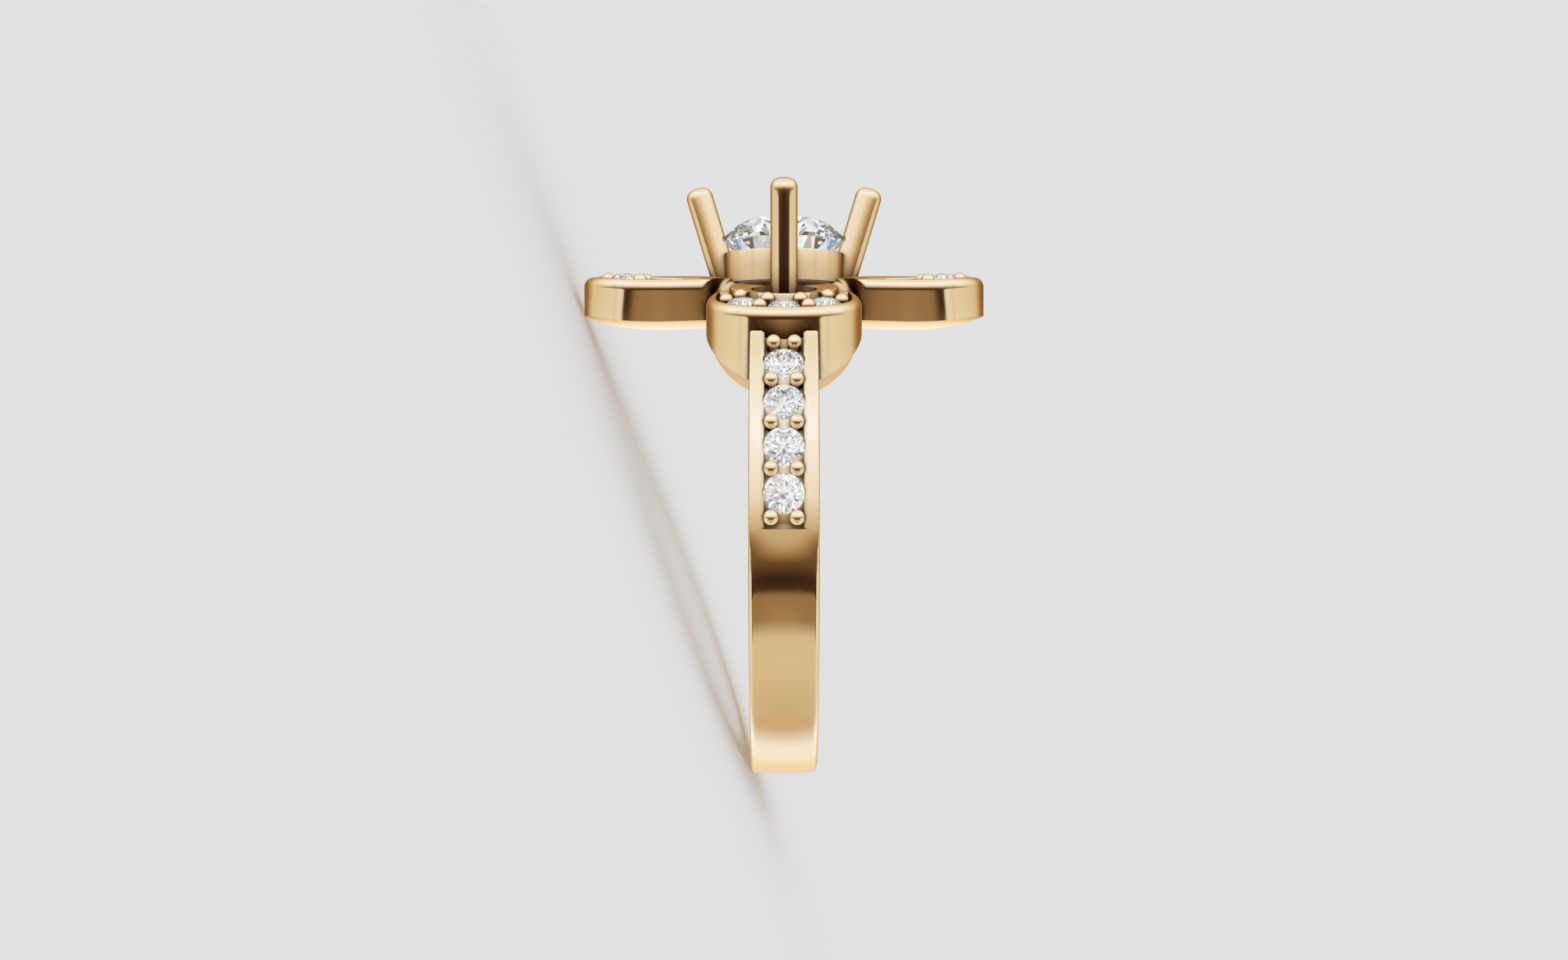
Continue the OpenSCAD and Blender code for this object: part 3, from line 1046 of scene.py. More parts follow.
    def under_points(self, angle: float, reach: float, own: float) -> list[Point]:
        """Gives the ray's points along the underside, which leans with the wall.

        Args:
            angle: The ray's angle from the petal's axis.
            reach: The edge's distance from the eye.
            own: How far the edge is the petal's own.

        Returns:
            The points, from the eye to the edge.
        """
        points = []
        for k in range(9):
            share = k / 8
            at = mix(self.eye_radius, reach + self.overlap * (1 - own) * share, share)
            side, front = self.across_and_front(at * math.cos(angle), at * math.sin(angle))
            shift, height = 0.0, self.under(front)
            for _ in range(4):
                shift = self.wall_shift(front, height) * share
                height = self.under(front - shift * self.foot_follow)
            points.append(self.sunk((side, -(front - shift), height)))
        return points

    def ground_edge(self, angle: float) -> float:
        """Gives the reach of the raised ground round the eye, whose round is set back."""
        back = self.ground_back
        radius = self.eye_radius + self.ground_width + back
        half = back * math.cos(angle)
        return -half + math.sqrt(half**2 - back**2 + radius**2)

    def dished(self, angle: float, reach: float, lift: float) -> Point:
        """Gives a point on the dish's floor, or on the plain surface past the dish's end.

        Args:
            angle: Angle from the petal's axis.
            reach: Distance from the eye.
            lift: Height above the floor.

        Returns:
            The point.
        """
        end, fade = -self.dish_end, self.dish_fade
        inside = blend_between(end - fade, end + fade, reach * math.cos(angle))
        share = (reach - self.ground_edge(angle)) / (self.edge(angle, 0.0) - self.ground_edge(angle))
        merged = self.merged(angle) * blend_between(0.0, 1.0, share)

        def plain(front: float) -> float:
            """Gives the height past the dish, sloped between the raised ground and the edge."""
            low = mix(self.rim(front), self.ground(front), self.merged(angle))
            return mix(low, self.neighbour(front), merged) - self.rim_step

        return self.station(angle, reach, lambda s: mix(plain(s), self.floor(s) + lift, inside))

    def ground_points(self, angle: float, edge: float) -> list[Point]:
        """Gives the ray's points over the raised ground round the eye and down the eye's wall.

        Args:
            angle: The ray's angle from the petal's axis.
            edge: The ground's reach.

        Returns:
            The points.
        """
        soft = self.ground_soft
        foot = self.ground_foot
        slope = self.ground_slope * blend_between(*self.slope_from, -edge * math.cos(angle))
        points = [self.dished(angle, edge + foot, 0.0), self.dished(angle, edge, foot)]
        for turn in quarter(3):
            at = edge - (soft + slope) * (1 - math.cos(turn))
            points.append(self.station(angle, at, self.ground, soft * (1 - math.sin(turn))))
        for share in (0.3, 0.6):
            at = mix(edge - soft - slope, self.eye_radius + soft, share)
            points.append(self.station(angle, at, self.ground))
        for turn in quarter(3):
            at = self.eye_radius + soft * (1 - math.sin(turn))
            points.append(self.station(angle, at, self.ground, soft * (1 - math.cos(turn))))
        for share in (0.35, 0.7, 0.98):

            def wall(front: float, down: float = share) -> float:
                """Gives the height a share of the way down the eye's wall."""
                return mix(self.ground(front) - soft, self.eye_bottom(front), down)

            points.append(self.station(angle, self.eye_radius, wall))
        return points

    def build(self, bench: Bench) -> None:
        """Makes the petal and its beads.

        Args:
            bench: Cuts and dresses the pieces.
        """
        shape = Shape()
        angles = [2 * math.pi * (k + 0.5) / self.rays for k in range(self.rays)]
        self.close(shape, [self.profile(a) for a in angles])
        shape.points = [tuple(self.side.turn @ Vector(p)) for p in shape.points]
        piece = shape.mesh_object(f"petal_{self.side.label}")
        room = Shape()
        for k in (-1, 0, 1):
            place = self.surface_place(math.radians(self.arc_step * k), self.stone_out)
            Brilliant(self.stone).sink_into(room, self.side.turn @ place, self.stone_sink)
        bench.cut(piece, room)
        bench.finish_gold(piece)
        self.build_beads(bench)

    def build_beads(self, bench: Bench) -> None:
        """Makes the eight beads of the petal.

        Args:
            bench: Dresses the piece.
        """
        shape = Shape()
        bead = Bead()
        for k in range(4):
            degrees = self.arc_step * (k - 1.5)
            angle = math.radians(degrees)
            rise = self.rim_rise(angle)
            outer = self.surface_place(angle, self.bead_out) @ Matrix.Translation((0.0, 0.0, rise))
            bead.add_to(shape, self.side.turn @ outer, self.bead_depth + rise, self.bead_proud)
            inner_out = self.bead_in_end if abs(degrees) > self.arc_step else self.bead_in
            inner = self.surface_place(angle, inner_out)
            bead.add_to(shape, self.side.turn @ inner, self.bead_depth, self.bead_in_proud)
        bench.finish_gold(shape.mesh_object(f"petal_beads_{self.side.label}"))


@dataclass
class SidePetal(Petal):
    """A petal that reaches out along the finger and is bent round it.

    Attributes:
        level_radius: Radius of the stones' level round the finger.
        curve_radius: Radius of the rim's flatter bend.
        curve_drop: How far below the finger's middle that bend's own middle lies.
        wall_share: How much more than the surface the wall leans.
        neck_from: Angle at which the outline runs over into the straight neck.
        neck_taper: How much the neck widens on its way to the collar.
        seam: How far it reaches past the front and back petals' edges.
        own_from: Distances from those petals between which its edge becomes its own.
        dish: Depth of the dish.
    """

    level_radius: float = 10.83
    curve_radius: float = 13.67
    curve_drop: float = 2.9
    wall_share: float = 1.12
    foot_follow: float = 0.75
    neck_from: float = 98.0
    neck_taper: float = 0.16
    seam: float = 0.06
    own_from: Span = (-0.04, 0.25)
    dish: float = 0.45

    def across_and_front(self, along: float, across: float) -> tuple[float, float]:
        """Turns a place about the eye into one along the finger and towards the front."""
        return self.eye + along, across

    def rim(self, front: float) -> float:
        """Gives the rim's height."""
        return math.sqrt(self.curve_radius**2 - front**2) - self.curve_drop

    def floor(self, front: float) -> float:
        """Gives the dish's height."""
        return math.sqrt((self.level_radius - self.dish) ** 2 - front**2)

    def ground(self, front: float) -> float:
        """Gives the height of the raised ground round the eye."""
        return math.sqrt(self.level_radius**2 - front**2)

    def lean(self, front: float) -> float:
        """Gives the lean of the surface there, square to the bend."""
        return math.asin(front / self.level_radius)

    def wall_shift(self, front: float, height: float) -> float:
        """Gives how far the leaning wall stands in from the rim at a height."""
        return (self.rim(front) - height) * math.tan(self.lean(front) * self.wall_share)

    def to_front_petals(self, along: float, across: float) -> float:
        """Gives the distance of a place from the nearer of the front and back petals."""
        side, front = self.across_and_front(along, across)
        return min(
            FRONT_OUTLINE.distance(front - FRONT_EYE, side),
            FRONT_OUTLINE.distance(-front - FRONT_EYE, side),
        )

    def beyond(self, along: float, across: float) -> float:
        """Gives the distance from the edge, where the front and back petals cut it too."""
        turned = math.radians(self.neck_from)
        reach = self.outline.reach(turned)
        start, wide = reach * math.cos(turned), reach * math.sin(turned)
        neck = max(along - start, abs(across) - wide - self.neck_taper * (along - start))
        own = min(self.outline.distance(along, across), neck)
        return max(own, -self.to_front_petals(along, across) - self.seam)

    def edge_share(self, along: float, across: float) -> float:
        """Gives how far an edge is the petal's own, from 0 to 1."""
        return blend_between(*self.own_from, self.to_front_petals(along, across))

    def eye_bottom(self, front: float) -> float:
        """Gives the underside's height, because this eye is open."""
        return self.under(front)

    def rim_rise(self, angle: float) -> float:
        """Gives how far the rim lies above the stones' level beside an outer bead."""
        tilt = self.lean(self.bead_out * math.sin(angle))
        drop = self.curve_drop
        curve = math.sqrt(self.curve_radius**2 - (drop * math.sin(tilt)) ** 2)
        return curve - drop * math.cos(tilt) - self.level_radius

    def close(self, shape: Shape, rows: list[list[Point]]) -> None:
        """Joins the rays into a closed band round the open eye."""
        shape.add_grid(rows, True, True)

    def surface_place(self, angle: float, reach: float) -> Matrix:
        """Gives the place and lean of the surface at an angle and distance from the eye."""
        side, front = self.across_and_front(reach * math.cos(angle), reach * math.sin(angle))
        tilt = Matrix.Rotation(self.lean(front), 4, "X")
        return tilt @ Matrix.Translation((side, 0.0, self.level_radius))


@dataclass
class FrontPetal(Petal):
    """A flat petal that leans out over a shoulder.

    Attributes:
        lean_angle: Its lean in degrees.
        wall_lean: Lean of its wall at the rim, in degrees.
        wall_bow: How much steeper the wall gets further down.
        merge_from: Degrees from its axis between which its edge runs into the side petals.
        rim_at_eye: Height of the rim beside the eye.
        dish: Depth of the dish.
        ground_proud: How far the raised ground stands above the rim.
        eye_foot: Height of the eye's floor.
    """

    bead_in_proud: float = 0.35
    lean_angle: float = 12.7
    wall_lean: float = 18.0
    wall_bow: float = 0.0176
    merge_from: Span = (110.0, 136.0)
    rim_at_eye: float = 9.79
    dish: float = 0.45
    ground_proud: float = 0.27
    eye_foot: float = 9.27

    def across_and_front(self, along: float, across: float) -> tuple[float, float]:
        """Turns a place about the eye into one along the finger and towards the front."""
        return across, self.eye + along

    def rim(self, front: float) -> float:
        """Gives the rim's height."""
        return self.rim_at_eye + (self.eye - front) * math.tan(math.radians(self.lean_angle))

    def floor(self, front: float) -> float:
        """Gives the dish's height."""
        return self.rim(front) - self.dish / math.cos(math.radians(self.lean_angle))

    def ground(self, front: float) -> float:
        """Gives the height of the raised ground round the eye."""
        return self.rim(front) + self.ground_proud / math.cos(math.radians(self.lean_angle))

    def wall_shift(self, front: float, height: float) -> float:
        """Gives how far the leaning wall stands in from the rim at a height."""
        drop = max(0.0, self.rim(front) - height)
        return drop * (math.tan(math.radians(self.wall_lean)) - self.wall_bow * drop)

    def merged(self, angle: float) -> float:
        """Gives how far the petal's edge has run into the side petals there, from 0 to 1."""
        turned = abs(math.degrees(math.atan2(math.sin(angle), math.cos(angle))))
        return blend_between(*self.merge_from, turned)

    def neighbour(self, front: float) -> float:
        """Gives the height just below the side petals' rims."""
        return SidePetal(Side.RIGHT, SIDE_OUTLINE, SIDE_EYE).rim(front) - self.rim_step

    def eye_bottom(self, front: float) -> float:
        """Gives the height of the eye's floor."""
        return self.eye_foot

    def close(self, shape: Shape, rows: list[list[Point]]) -> None:
        """Joins the rays and closes the underside and the eye's floor."""
        shape.add_grid([row[::-1] for row in rows], True, False)
        wide = len(rows[0])
        top = [k * wide for k in range(self.rays)]
        low = [k * wide + wide - 1 for k in range(self.rays)]
        shape.cap(top, (0.0, -self.eye, self.eye_foot), False)
        shape.cap(low, (0.0, -self.eye, self.under(self.eye)), True)

    def surface_place(self, angle: float, reach: float) -> Matrix:
        """Gives the place and lean of the surface at an angle and distance from the eye."""
        side, front = self.across_and_front(reach * math.cos(angle), reach * math.sin(angle))
        place = Matrix.Translation((side, -front, self.rim(front)))
        return place @ Matrix.Rotation(math.radians(self.lean_angle), 4, "X")


@dataclass
class Shank:
    """The band round the finger, with a channel of stones down each shoulder.

    Angles are degrees above the finger's level, and depths lie below the outer face.

    Attributes:
        hole_radius: Radius of the finger hole.
        outer_radius: Radius of the outer face.
        rise: How far above the hole's middle the outer circle's middle lies.
        crown: How much lower the outer face lies at its edges.
        half_width: Half of the band's width.
        edge: Radius of the band's edges.
        rail_edge: Radius of the rails' edges.
        rail_drop: How far below the outer circle the rails' tops lie.
        rail_inner: Distance of the points on the rails' tops from the channel's middle.
        channel_half: Half of the channel's width.
        channel_depth: Depth of the channel.
        channel_start: Angle at which the channel begins.
        foot_depth: Depth of the channel right at its foot.
        foot_run: Degrees in which it reaches its full depth.
        lead: Degrees in which the band's edges turn into those of the rails.
        rail_end: Angle at which the rails end below the petal.
        rail_fall: Degrees in which they drop to the channel's floor.
        channel_end: Angle at which the flower covers the band.
        wall_step: Small slope of the channel's walls.
        bevel: Width of the bevel along the rails' inner edges.
        bevel_drop: Depth of that bevel, as a share of its width.
        hidden_radius: Outer radius below the flower.
        inner_flat: Half of the inner face that has points of its own.
        stone: Diameter of the stones.
        stone_sink: How far below the surface their girdles lie.
        stone_first: Angle of the first stone.
        stone_step: Degrees from stone to stone.
        stones: Number of stones on a shoulder.
        row_below: Degrees from the first stone down to the first row of beads.
        row_above: Degrees from the last stone up to the last row of beads.
        bead_side: Distance of a bead from the channel's middle.
        bead_pinch: How much closer the last row's beads stand.
        bead_proud: How far a bead's top stands above the surface.
    """

    hole_radius: float = 8.45
    outer_radius: float = 10.53
    rise: float = 0.25
    crown: float = 0.06
    half_width: float = 1.36
    edge: float = 0.2
    rail_edge: float = 0.11
    rail_drop: float = 0.04
    rail_inner: float = 1.03
    channel_half: float = 0.78
    channel_depth: float = 0.45
    channel_start: float = 0.3
    foot_depth: float = 0.28
    foot_run: float = 1.1
    lead: float = 7.0
    rail_end: float = 48.2
    rail_fall: float = 0.5
    channel_end: float = 52.5
    wall_step: float = 0.004
    bevel: float = 0.115
    bevel_drop: float = 0.8
    hidden_radius: float = 9.22
    inner_flat: float = 0.6
    stone: float = 1.6
    stone_sink: float = 0.26
    stone_first: float = 7.95
    stone_step: float = 10.45
    stones: int = 4
    row_below: float = 5.15
    row_above: float = 5.6
    bead_side: float = 0.5
    bead_pinch: float = 0.09
    bead_proud: float = 0.24

    def radius_at(self, angle: float, round_hole: float) -> float:
        """Gives the distance from the outer circle's middle to a circle round the hole."""
        lift = self.rise * math.sin(angle)
        return -lift + math.sqrt(round_hole**2 - (self.rise * math.cos(angle)) ** 2)

    def half_section(self, degrees: float, channel: float, floor: float) -> list[Station]:
        """Gives half of the band's section.

        Args:
            degrees: Angle above the finger's level.
            channel: How far the edges are those of the rails, from 0 to 1.
            floor: Depth of the channel there, 0 where there is none.

        Returns:
            Distances along the finger and out from the outer circle's middle.
        """
        flat = self.half_width - self.edge
        edge = mix(self.edge, self.rail_edge, channel)
        shoulder = self.half_width - edge

        def top(side: float) -> float:
            """Gives the outer face's radius."""
            band = self.outer_radius - self.crown * (side / flat) ** 2
            return mix(band, self.outer_radius - self.rail_drop, channel)

        cut = self.channel_half
        bevel = self.bevel if floor else 0.0
        bottom = (0.0, 0.2, 0.4, 0.56, 0.68, cut - self.wall_step)
        stations = [(side, top(side) - floor) for side in bottom]
        stations.append((cut, top(cut) - bevel * self.bevel_drop))
        stations += [(side, top(side)) for side in (cut + self.bevel, self.rail_inner, shoulder)]
        corner = top(shoulder) - edge
        for turn in quarter(5)[1:]:
            stations.append((shoulder + edge * math.sin(turn), corner + edge * math.cos(turn)))
        inner = self.radius_at(math.radians(degrees), self.hole_radius)
        stations.append((self.half_width, mix(inner + self.edge, corner, 0.5)))
        for turn in quarter(4):
            side = self.half_width - self.edge * (1 - math.cos(turn))
            stations.append((side, inner + self.edge * (1 - math.sin(turn))))
        stations.append((self.inner_flat, inner))
        return stations

    def lowered(self, degrees: float, radius: float) -> list[Station]:
        """Gives half of the rails' section, cut off at a radius.

        Args:
            degrees: Angle above the finger's level.
            radius: The largest distance from the outer circle's middle.

        Returns:
            Distances along the finger and out from the outer circle's middle.
        """
        return [(side, min(out, radius)) for side, out in self.half_section(degrees, 1.0, 0.0)]

    def ring(self, degrees: float, half: list[Station]) -> list[Point]:
        """Gives a full ring of points round the band from half of its section.

        Args:
            degrees: Angle above the finger's level.
            half: Half of the section, from the middle of the outer face to the inner one.

        Returns:
            The points at the front shoulder.
        """
        angle = math.radians(degrees)
        inner = self.radius_at(angle, self.hole_radius)
        other = [(-side, out) for side, out in half[1:]][::-1]
        return [
            (side, -out * math.cos(angle), self.rise + out * math.sin(angle))
            for side, out in half + [(0.0, inner)] + other
        ]

    def rings(self) -> list[list[Point]]:
        """Gives the band's rings of points, from the bottom up the front to the top."""
        start = self.channel_start
        foot = start - self.lead
        deep = start + self.foot_run
        full = self.channel_depth
        before, after = start - 0.02, self.channel_end + 0.05
        sections = [(mix(-90.0, foot, k / 120), 0.0, 0.0) for k in range(120)]
        for k in range(15):
            degrees = mix(foot, before, k / 14)
            sections.append((degrees, blend_between(foot, start, degrees), 0.0))
        sections += [(start, 1.0, self.foot_depth), (deep, 1.0, full)]
        sections += [(mix(deep, self.rail_end, k / 55), 1.0, full) for k in range(1, 56)]
        made = [self.ring(section[0], self.half_section(*section)) for section in sections]
        floor = self.outer_radius - self.rail_drop - full
        for k in range(6):
            degrees = mix(self.rail_end + self.rail_fall, self.channel_end, k / 5)
            made.append(self.ring(degrees, self.lowered(degrees, floor)))
        for k in range(48):
            made.append(self.hidden_ring(mix(after, 90.0, k / 48)))
        return made

    def hidden_ring(self, degrees: float) -> list[Point]:
        """Gives a ring of points where the flower covers the band."""
        outer = self.radius_at(math.radians(degrees), self.hidden_radius)
        return self.ring(degrees, self.lowered(degrees, outer))

    def stone_place(self, degrees: float, side: float) -> Matrix:
        """Gives a place on the front shoulder's outer face.

        Args:
            degrees: Angle above the finger's level.
            side: Distance along the finger.

        Returns:
            The place, square to the face.
        """
        up = Matrix.Translation((side, 0.0, self.rise))
        tilt = Matrix.Rotation(math.radians(90 - degrees), 4, "X")
        return up @ tilt @ Matrix.Translation((0.0, 0.0, self.outer_radius - self.crown))

    def stone_angles(self) -> list[float]:
        """Gives the angles of the stones."""
        return [self.stone_first + self.stone_step * k for k in range(self.stones)]

    def bead_rows(self) -> list[float]:
        """Gives the angles of the rows of beads."""
        stones = self.stone_angles()
        between = [s + self.stone_step / 2 for s in stones[:-1]]
        return [stones[0] - self.row_below, *between, stones[-1] + self.row_above]

    def build(self, bench: Bench) -> None:
        """Makes the band and the beads of both shoulders.

        Args:
            bench: Cuts and dresses the pieces.
        """
        front = self.rings()
        top = [(x, -0.0, z) for x, _, z in self.hidden_ring(90.0)]
        back = [[(x, -y, z) for x, y, z in ring] for ring in front[1:]][::-1]
        shape = Shape()
        shape.add_grid(front + [top] + back, True, True)
        piece = shape.mesh_object("shank")
        room = Shape()
        for side in (Side.FRONT, Side.BACK):
            for degrees in self.stone_angles():
                place = side.turn @ self.stone_place(degrees, 0.0)
                Brilliant(self.stone).sink_into(room, place, self.stone_sink)
        bench.cut(piece, room)
        bench.finish_gold(piece)
        for side in (Side.FRONT, Side.BACK):
            self.build_beads(bench, side)

    def build_beads(self, bench: Bench, side: Side) -> None:
        """Makes one shoulder's rows of beads.

        Args:
            bench: Dresses the piece.
            side: The front or the back.
        """
        shape = Shape()
        rows = self.bead_rows()
        for degrees in rows:
            pinch = self.bead_pinch if degrees == rows[-1] else 0.0
            for hand in (-1, 1):
                place = self.stone_place(degrees, hand * (self.bead_side - pinch))
                Bead().add_to(shape, side.turn @ place, self.channel_depth, self.bead_proud)
        bench.finish_gold(shape.mesh_object(f"shoulder_beads_{side.label}"))


class Prong(Enum):
    """The four prongs, by their angle round the stone."""

    RIGHT = 0.0
    BACK = 90.0
    LEFT = 180.0
    FRONT = 270.0

    @property
    def over_finger(self) -> bool:
        """Tells whether the prong leans along the finger."""
        return self in (Prong.RIGHT, Prong.LEFT)


@dataclass
class Crown:
    """The collar and the four long prongs round the centre stone.

    Attributes:
        collar_radius: Outer radius of the collar.
        collar_wall: Thickness of its wall.
        collar_foot: Height of its foot.
        collar_top: Height of its top.
        collar_soft: Radius of its top's outer edge.
        chip: Small step that keeps the foot's edges crisp.
        seat: Width and depth of the slope inside its top.
        seat_edge: Distance from the bore at which the slope begins.
        inner_lip: How far the foot ring reaches in from the bore.
        inner_rise: Slope of the foot ring's top.
        step_back: How far in from the collar the foot ring stands.
        step_foot: Height of the foot ring's own foot.
        collar_segments: Steps round the collar.
        stone: Diameter of the centre stone.
        girdle: Height of its girdle.
        stone_segments: Steps round its room.
        prong_radius: Radius of a prong.
        prong_out: Distance of a prong from the middle at prong_level.
        prong_level: The height at which that is measured.
        lean_side: Lean of the side prongs, in degrees.
        lean_front: Lean of the front and back prongs, in degrees.
        prong_tip: Height of the tips.
        prong_segments: Steps round a prong.
        dome_radius: Distance of the tip from the point that sets the prong's length.
        dome_height: Height of the dome on a prong.
        dome_square: How square the dome's shoulders are, 2 for a round one.
        dome_tip: Radius at which the dome is closed off.
        foot_side: Height of the side prongs' feet.
        foot_front: Height of the front and back prongs' feet.
    """

    collar_radius: float = 2.57
    collar_wall: float = 0.6
    collar_foot: float = 10.5
    collar_top: float = 11.83
    collar_soft: float = 0.06
    chip: float = 0.02
    seat: float = 0.14
    seat_edge: float = 0.17
    inner_lip: float = 0.6
    inner_rise: float = 0.1
    step_back: float = 0.67
    step_foot: float = 9.9
    collar_segments: int = 160
    stone: float = 5.22
    girdle: float = 12.51
    stone_segments: int = 128
    prong_radius: float = 0.56
    prong_out: float = 2.57
    prong_level: float = 10.83
    lean_side: float = 16.9
    lean_front: float = 15.0
    prong_tip: float = 14.63
    prong_segments: int = 56
    dome_radius: float = 0.644
    dome_height: float = 0.47
    dome_square: float = 2.5
    dome_tip: float = 0.012
    foot_side: float = 9.6
    foot_front: float = 8.95

    def build(self, bench: Bench) -> None:
        """Makes the collar and the prongs.

        Args:
            bench: Cuts and dresses the pieces.
        """
        self.build_collar(bench)
        for prong in Prong:
            self.build_prong(bench, prong)

    def collar_profile(self) -> list[Station]:
        """Gives the collar's section, radius and height, from its foot ring round."""
        outer = self.collar_radius
        bore = outer - self.collar_wall
        lip = bore - self.inner_lip
        step = outer - self.step_back
        foot, top = self.collar_foot, self.collar_top
        made = [(lip, self.step_foot), (step, self.step_foot), (step, foot - self.chip)]
        made += [(step + self.chip, foot), (outer - self.chip, foot)]
        made += [(outer, foot + self.chip), (outer, mix(foot, top, 0.5))]
        for turn in quarter(5):
            out = outer - self.collar_soft * (1 - math.cos(turn))
            made.append((out, top - self.collar_soft * (1 - math.sin(turn))))
        made += [(bore + self.seat_edge, top), (bore + self.seat, top - self.chip)]
        made += [(bore, top - self.seat), (bore, foot + self.inner_rise), (lip, foot - self.inner_rise)]
        return made

    def build_collar(self, bench: Bench) -> None:
        """Makes the collar, its top sloped inside to the stone."""
        profile = self.collar_profile()[::-1]
        rows = []
        for k in range(self.collar_segments):
            angle = 2 * math.pi * k / self.collar_segments
            rows.append([(r * math.cos(angle), r * math.sin(angle), z) for r, z in profile])
        shape = Shape()
        shape.add_grid(rows, True, True)
        bench.finish_gold(shape.mesh_object("collar"))

    def build_prong(self, bench: Bench, prong: Prong) -> None:
        """Makes one prong with its notch for the stone.

        Args:
            bench: Cuts and dresses the piece.
            prong: Which of the four it is.
        """
        foot = self.foot_side if prong.over_finger else self.foot_front
        lean = math.radians(self.lean_side if prong.over_finger else self.lean_front)
        length = (self.prong_tip - self.dome_radius - foot) / math.cos(lean) + self.dome_radius
        base = self.prong_out + (foot - self.prong_level) * math.tan(lean)
        turned = Matrix.Rotation(math.radians(prong.value), 4, "Z")
        place = turned @ Matrix.Translation((base, 0.0, foot)) @ Matrix.Rotation(lean, 4, "Y")
        straight = length - self.dome_height
        heights = [length * k / 8 for k in range(8)]
        profile = [(self.prong_radius, z) for z in heights if z < straight - 0.2]
        power = 2 / self.dome_square
        for turn in quarter(14):
            out = max(self.dome_tip, self.prong_radius * max(0.0, math.cos(turn)) ** power)
            profile.append((out, straight + self.dome_height * math.sin(turn) ** power))
        shape = Shape()
        shape.add_turning(profile, place, self.prong_segments)
        piece = shape.mesh_object(f"prong_{prong.name.lower()}")
        room = Shape()
        lift = Matrix.Translation((0.0, 0.0, self.girdle))
        room.add_turning(Brilliant(self.stone).crown_profile(), lift, self.stone_segments)
        bench.cut(piece, room)
        bench.finish_gold(piece)


class Tone(Enum):
    """Tones that polished gold shows, from the darkest to a lamp, as screen colours."""

    NIGHT = (45, 25, 10)
    UMBER = (60, 35, 15)
    BROWN = (110, 75, 40)
    AMBER = (150, 110, 65)
    TAN = (165, 125, 75)
    HONEY = (180, 140, 90)
    GOLD = (205, 170, 120)
    STRAW = (215, 185, 135)
    SAND = (220, 195, 150)
    BISCUIT = (230, 210, 170)
    CREAM = (235, 215, 180)
    IVORY = (245, 230, 200)
    WHITE = (250, 240, 225)
    LAMP = (260, 260, 255)


Looks = tuple[tuple[float, Tone], ...]


